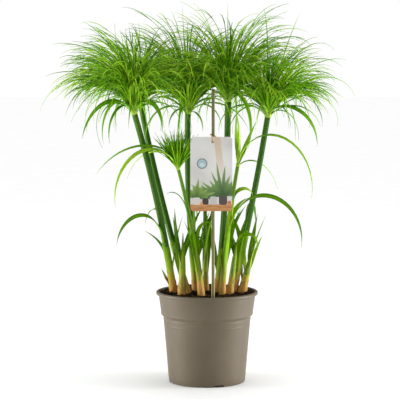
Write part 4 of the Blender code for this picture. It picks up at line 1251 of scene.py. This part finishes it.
shade = ink.noise(ink.at(), 24.0, 2.0)
wall = ink.ramp(shade, (0.3, paint(192, 190, 186)), (0.7, paint(218, 216, 212)))
sweep = upward + across * 0.6
glow = ink.step(sweep, -0.4, 1.1) - ink.step(sweep, 1.1, 2.2)
wall = ink.mix(glow * 0.6, wall, paint(226, 225, 222))
slant = across + upward * 0.12
beam = ink.step(slant, 0.30, 0.34) - ink.step(slant, 0.62, 0.66)
wall = ink.mix(beam * ink.step(upward, -0.6, 1.2) * 0.7, wall, paint(204, 176, 146))
boards = ink.noise(ink.stretched(ink.at(), (40, 1, 500)), 1.0, 3.0)
brown = ink.ramp(boards, (0.3, paint(150, 92, 44)), (0.7, paint(214, 156, 96)))
picture = ink.mix(1 - ink.step(upward, -1.47, -1.43), wall, brown)
for root, count, reach, half, dark, light in PRINTED_PLANTS:
    inside, share = spray(root, count, reach, half)
    picture = ink.mix(inside, picture, ink.mix(share, paint(*dark), paint(*light)))
for middle, size, power, colour in PRINTED:
    picture = ink.mix(blot(middle, size, power), picture, paint(*colour))
front = 1 - ink.step(y, CARD_MIDDLE.y - 0.0001, CARD_MIDDLE.y + 0.0001)
ink.feed(ink.shader, {"Base Color": ink.mix(front, paint(232, 230, 225), picture)})
ink.relief(ink.noise(ink.at(), 1500.0), 0.00003)
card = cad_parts["label_card"]
card.data.materials.clear()
card.data.materials.append(ink.material)


# The tie: two strands of raffia, twisted together, through the card's hole and round the back of the cane.
TIE_RADIUS = 0.0012
TIE_TWISTS = 9
TIE_RINGS = 96
# Its route, measured from the cane's axis at the height of the hole
TIE_ROUTE = (
    (-0.0010, -0.0065, 0.0),
    (-0.0010, -0.0083, 0.0008),
    (-0.0014, -0.0086, 0.0045),
    (-0.0022, -0.0083, 0.0096),
    (-0.0038, -0.0056, 0.0125),
    (-0.0051, -0.0012, 0.0130),
    (-0.0041, 0.0032, 0.0125),
    (0.0, 0.0051, 0.0113),
    (0.0041, 0.0032, 0.0095),
    (0.0051, -0.0010, 0.0066),
    (0.0032, -0.0044, 0.0026),
    (0.0006, -0.0051, 0.0004),
)
HOLE_BELOW_TOP = 0.009


def looped(points, count):
    """A smooth closed curve through points: between b and c it is the Catmull-Rom cubic of a, b, c, d."""
    points = np.array(points, float)
    spot = np.linspace(0, len(points), count)
    first, t = np.floor(spot).astype(int), (spot % 1)[:, None]
    a, b, c, d = (points[(first + shift) % len(points)] for shift in (-1, 0, 1, 2))
    return b + 0.5 * t * (c - a + t * (2 * a - 5 * b + 4 * c - d + t * (3 * b - a - 3 * c + d)))


def twisted(line, radius, shift):
    """One strand: a tube that winds round a line at half its radius, a whole turn every few rings."""
    along = unit(np.gradient(line, axis=0))
    across = unit(np.cross(along, (0.3, 0.2, 1)))
    over = np.cross(along, across)
    wind = np.linspace(0, math.tau * TIE_TWISTS, len(line))[:, None] + shift
    middle = line + radius * 0.45 * (np.cos(wind) * across + np.sin(wind) * over)
    part, angle = round_grid(len(line), 8, 0.0, 1.0)
    ring = np.cos(angle)[..., None] * across[:, None] + np.sin(angle)[..., None] * over[:, None]
    tube = middle[:, None] + ring * radius * 0.55
    return tube[None], np.stack([part, np.cos(angle), np.sin(angle)], -1)[None]


raffia = Finish("raffia", 0.8, specular=0.2)
strands = raffia.noise(raffia.stretched(raffia.grain(), (60, 3, 3)), 1.0, 4.0, 0.6)
straw = raffia.ramp(strands, (0.3, paint(150, 106, 60)), (0.7, paint(224, 186, 130)))
raffia.feed(raffia.shader, {"Base Color": straw})
raffia.relief(strands, 0.0003)
hole = np.array([CANE_X, CANE_Y, card_high.z - HOLE_BELOW_TOP])
route = looped(TIE_ROUTE, TIE_RINGS) + hole
tie = piece("raffia_tie", [(*twisted(route, TIE_RADIUS, turn), 0.0) for turn in (0, math.pi)], raffia)
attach(tie, "root")
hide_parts("label_tie")
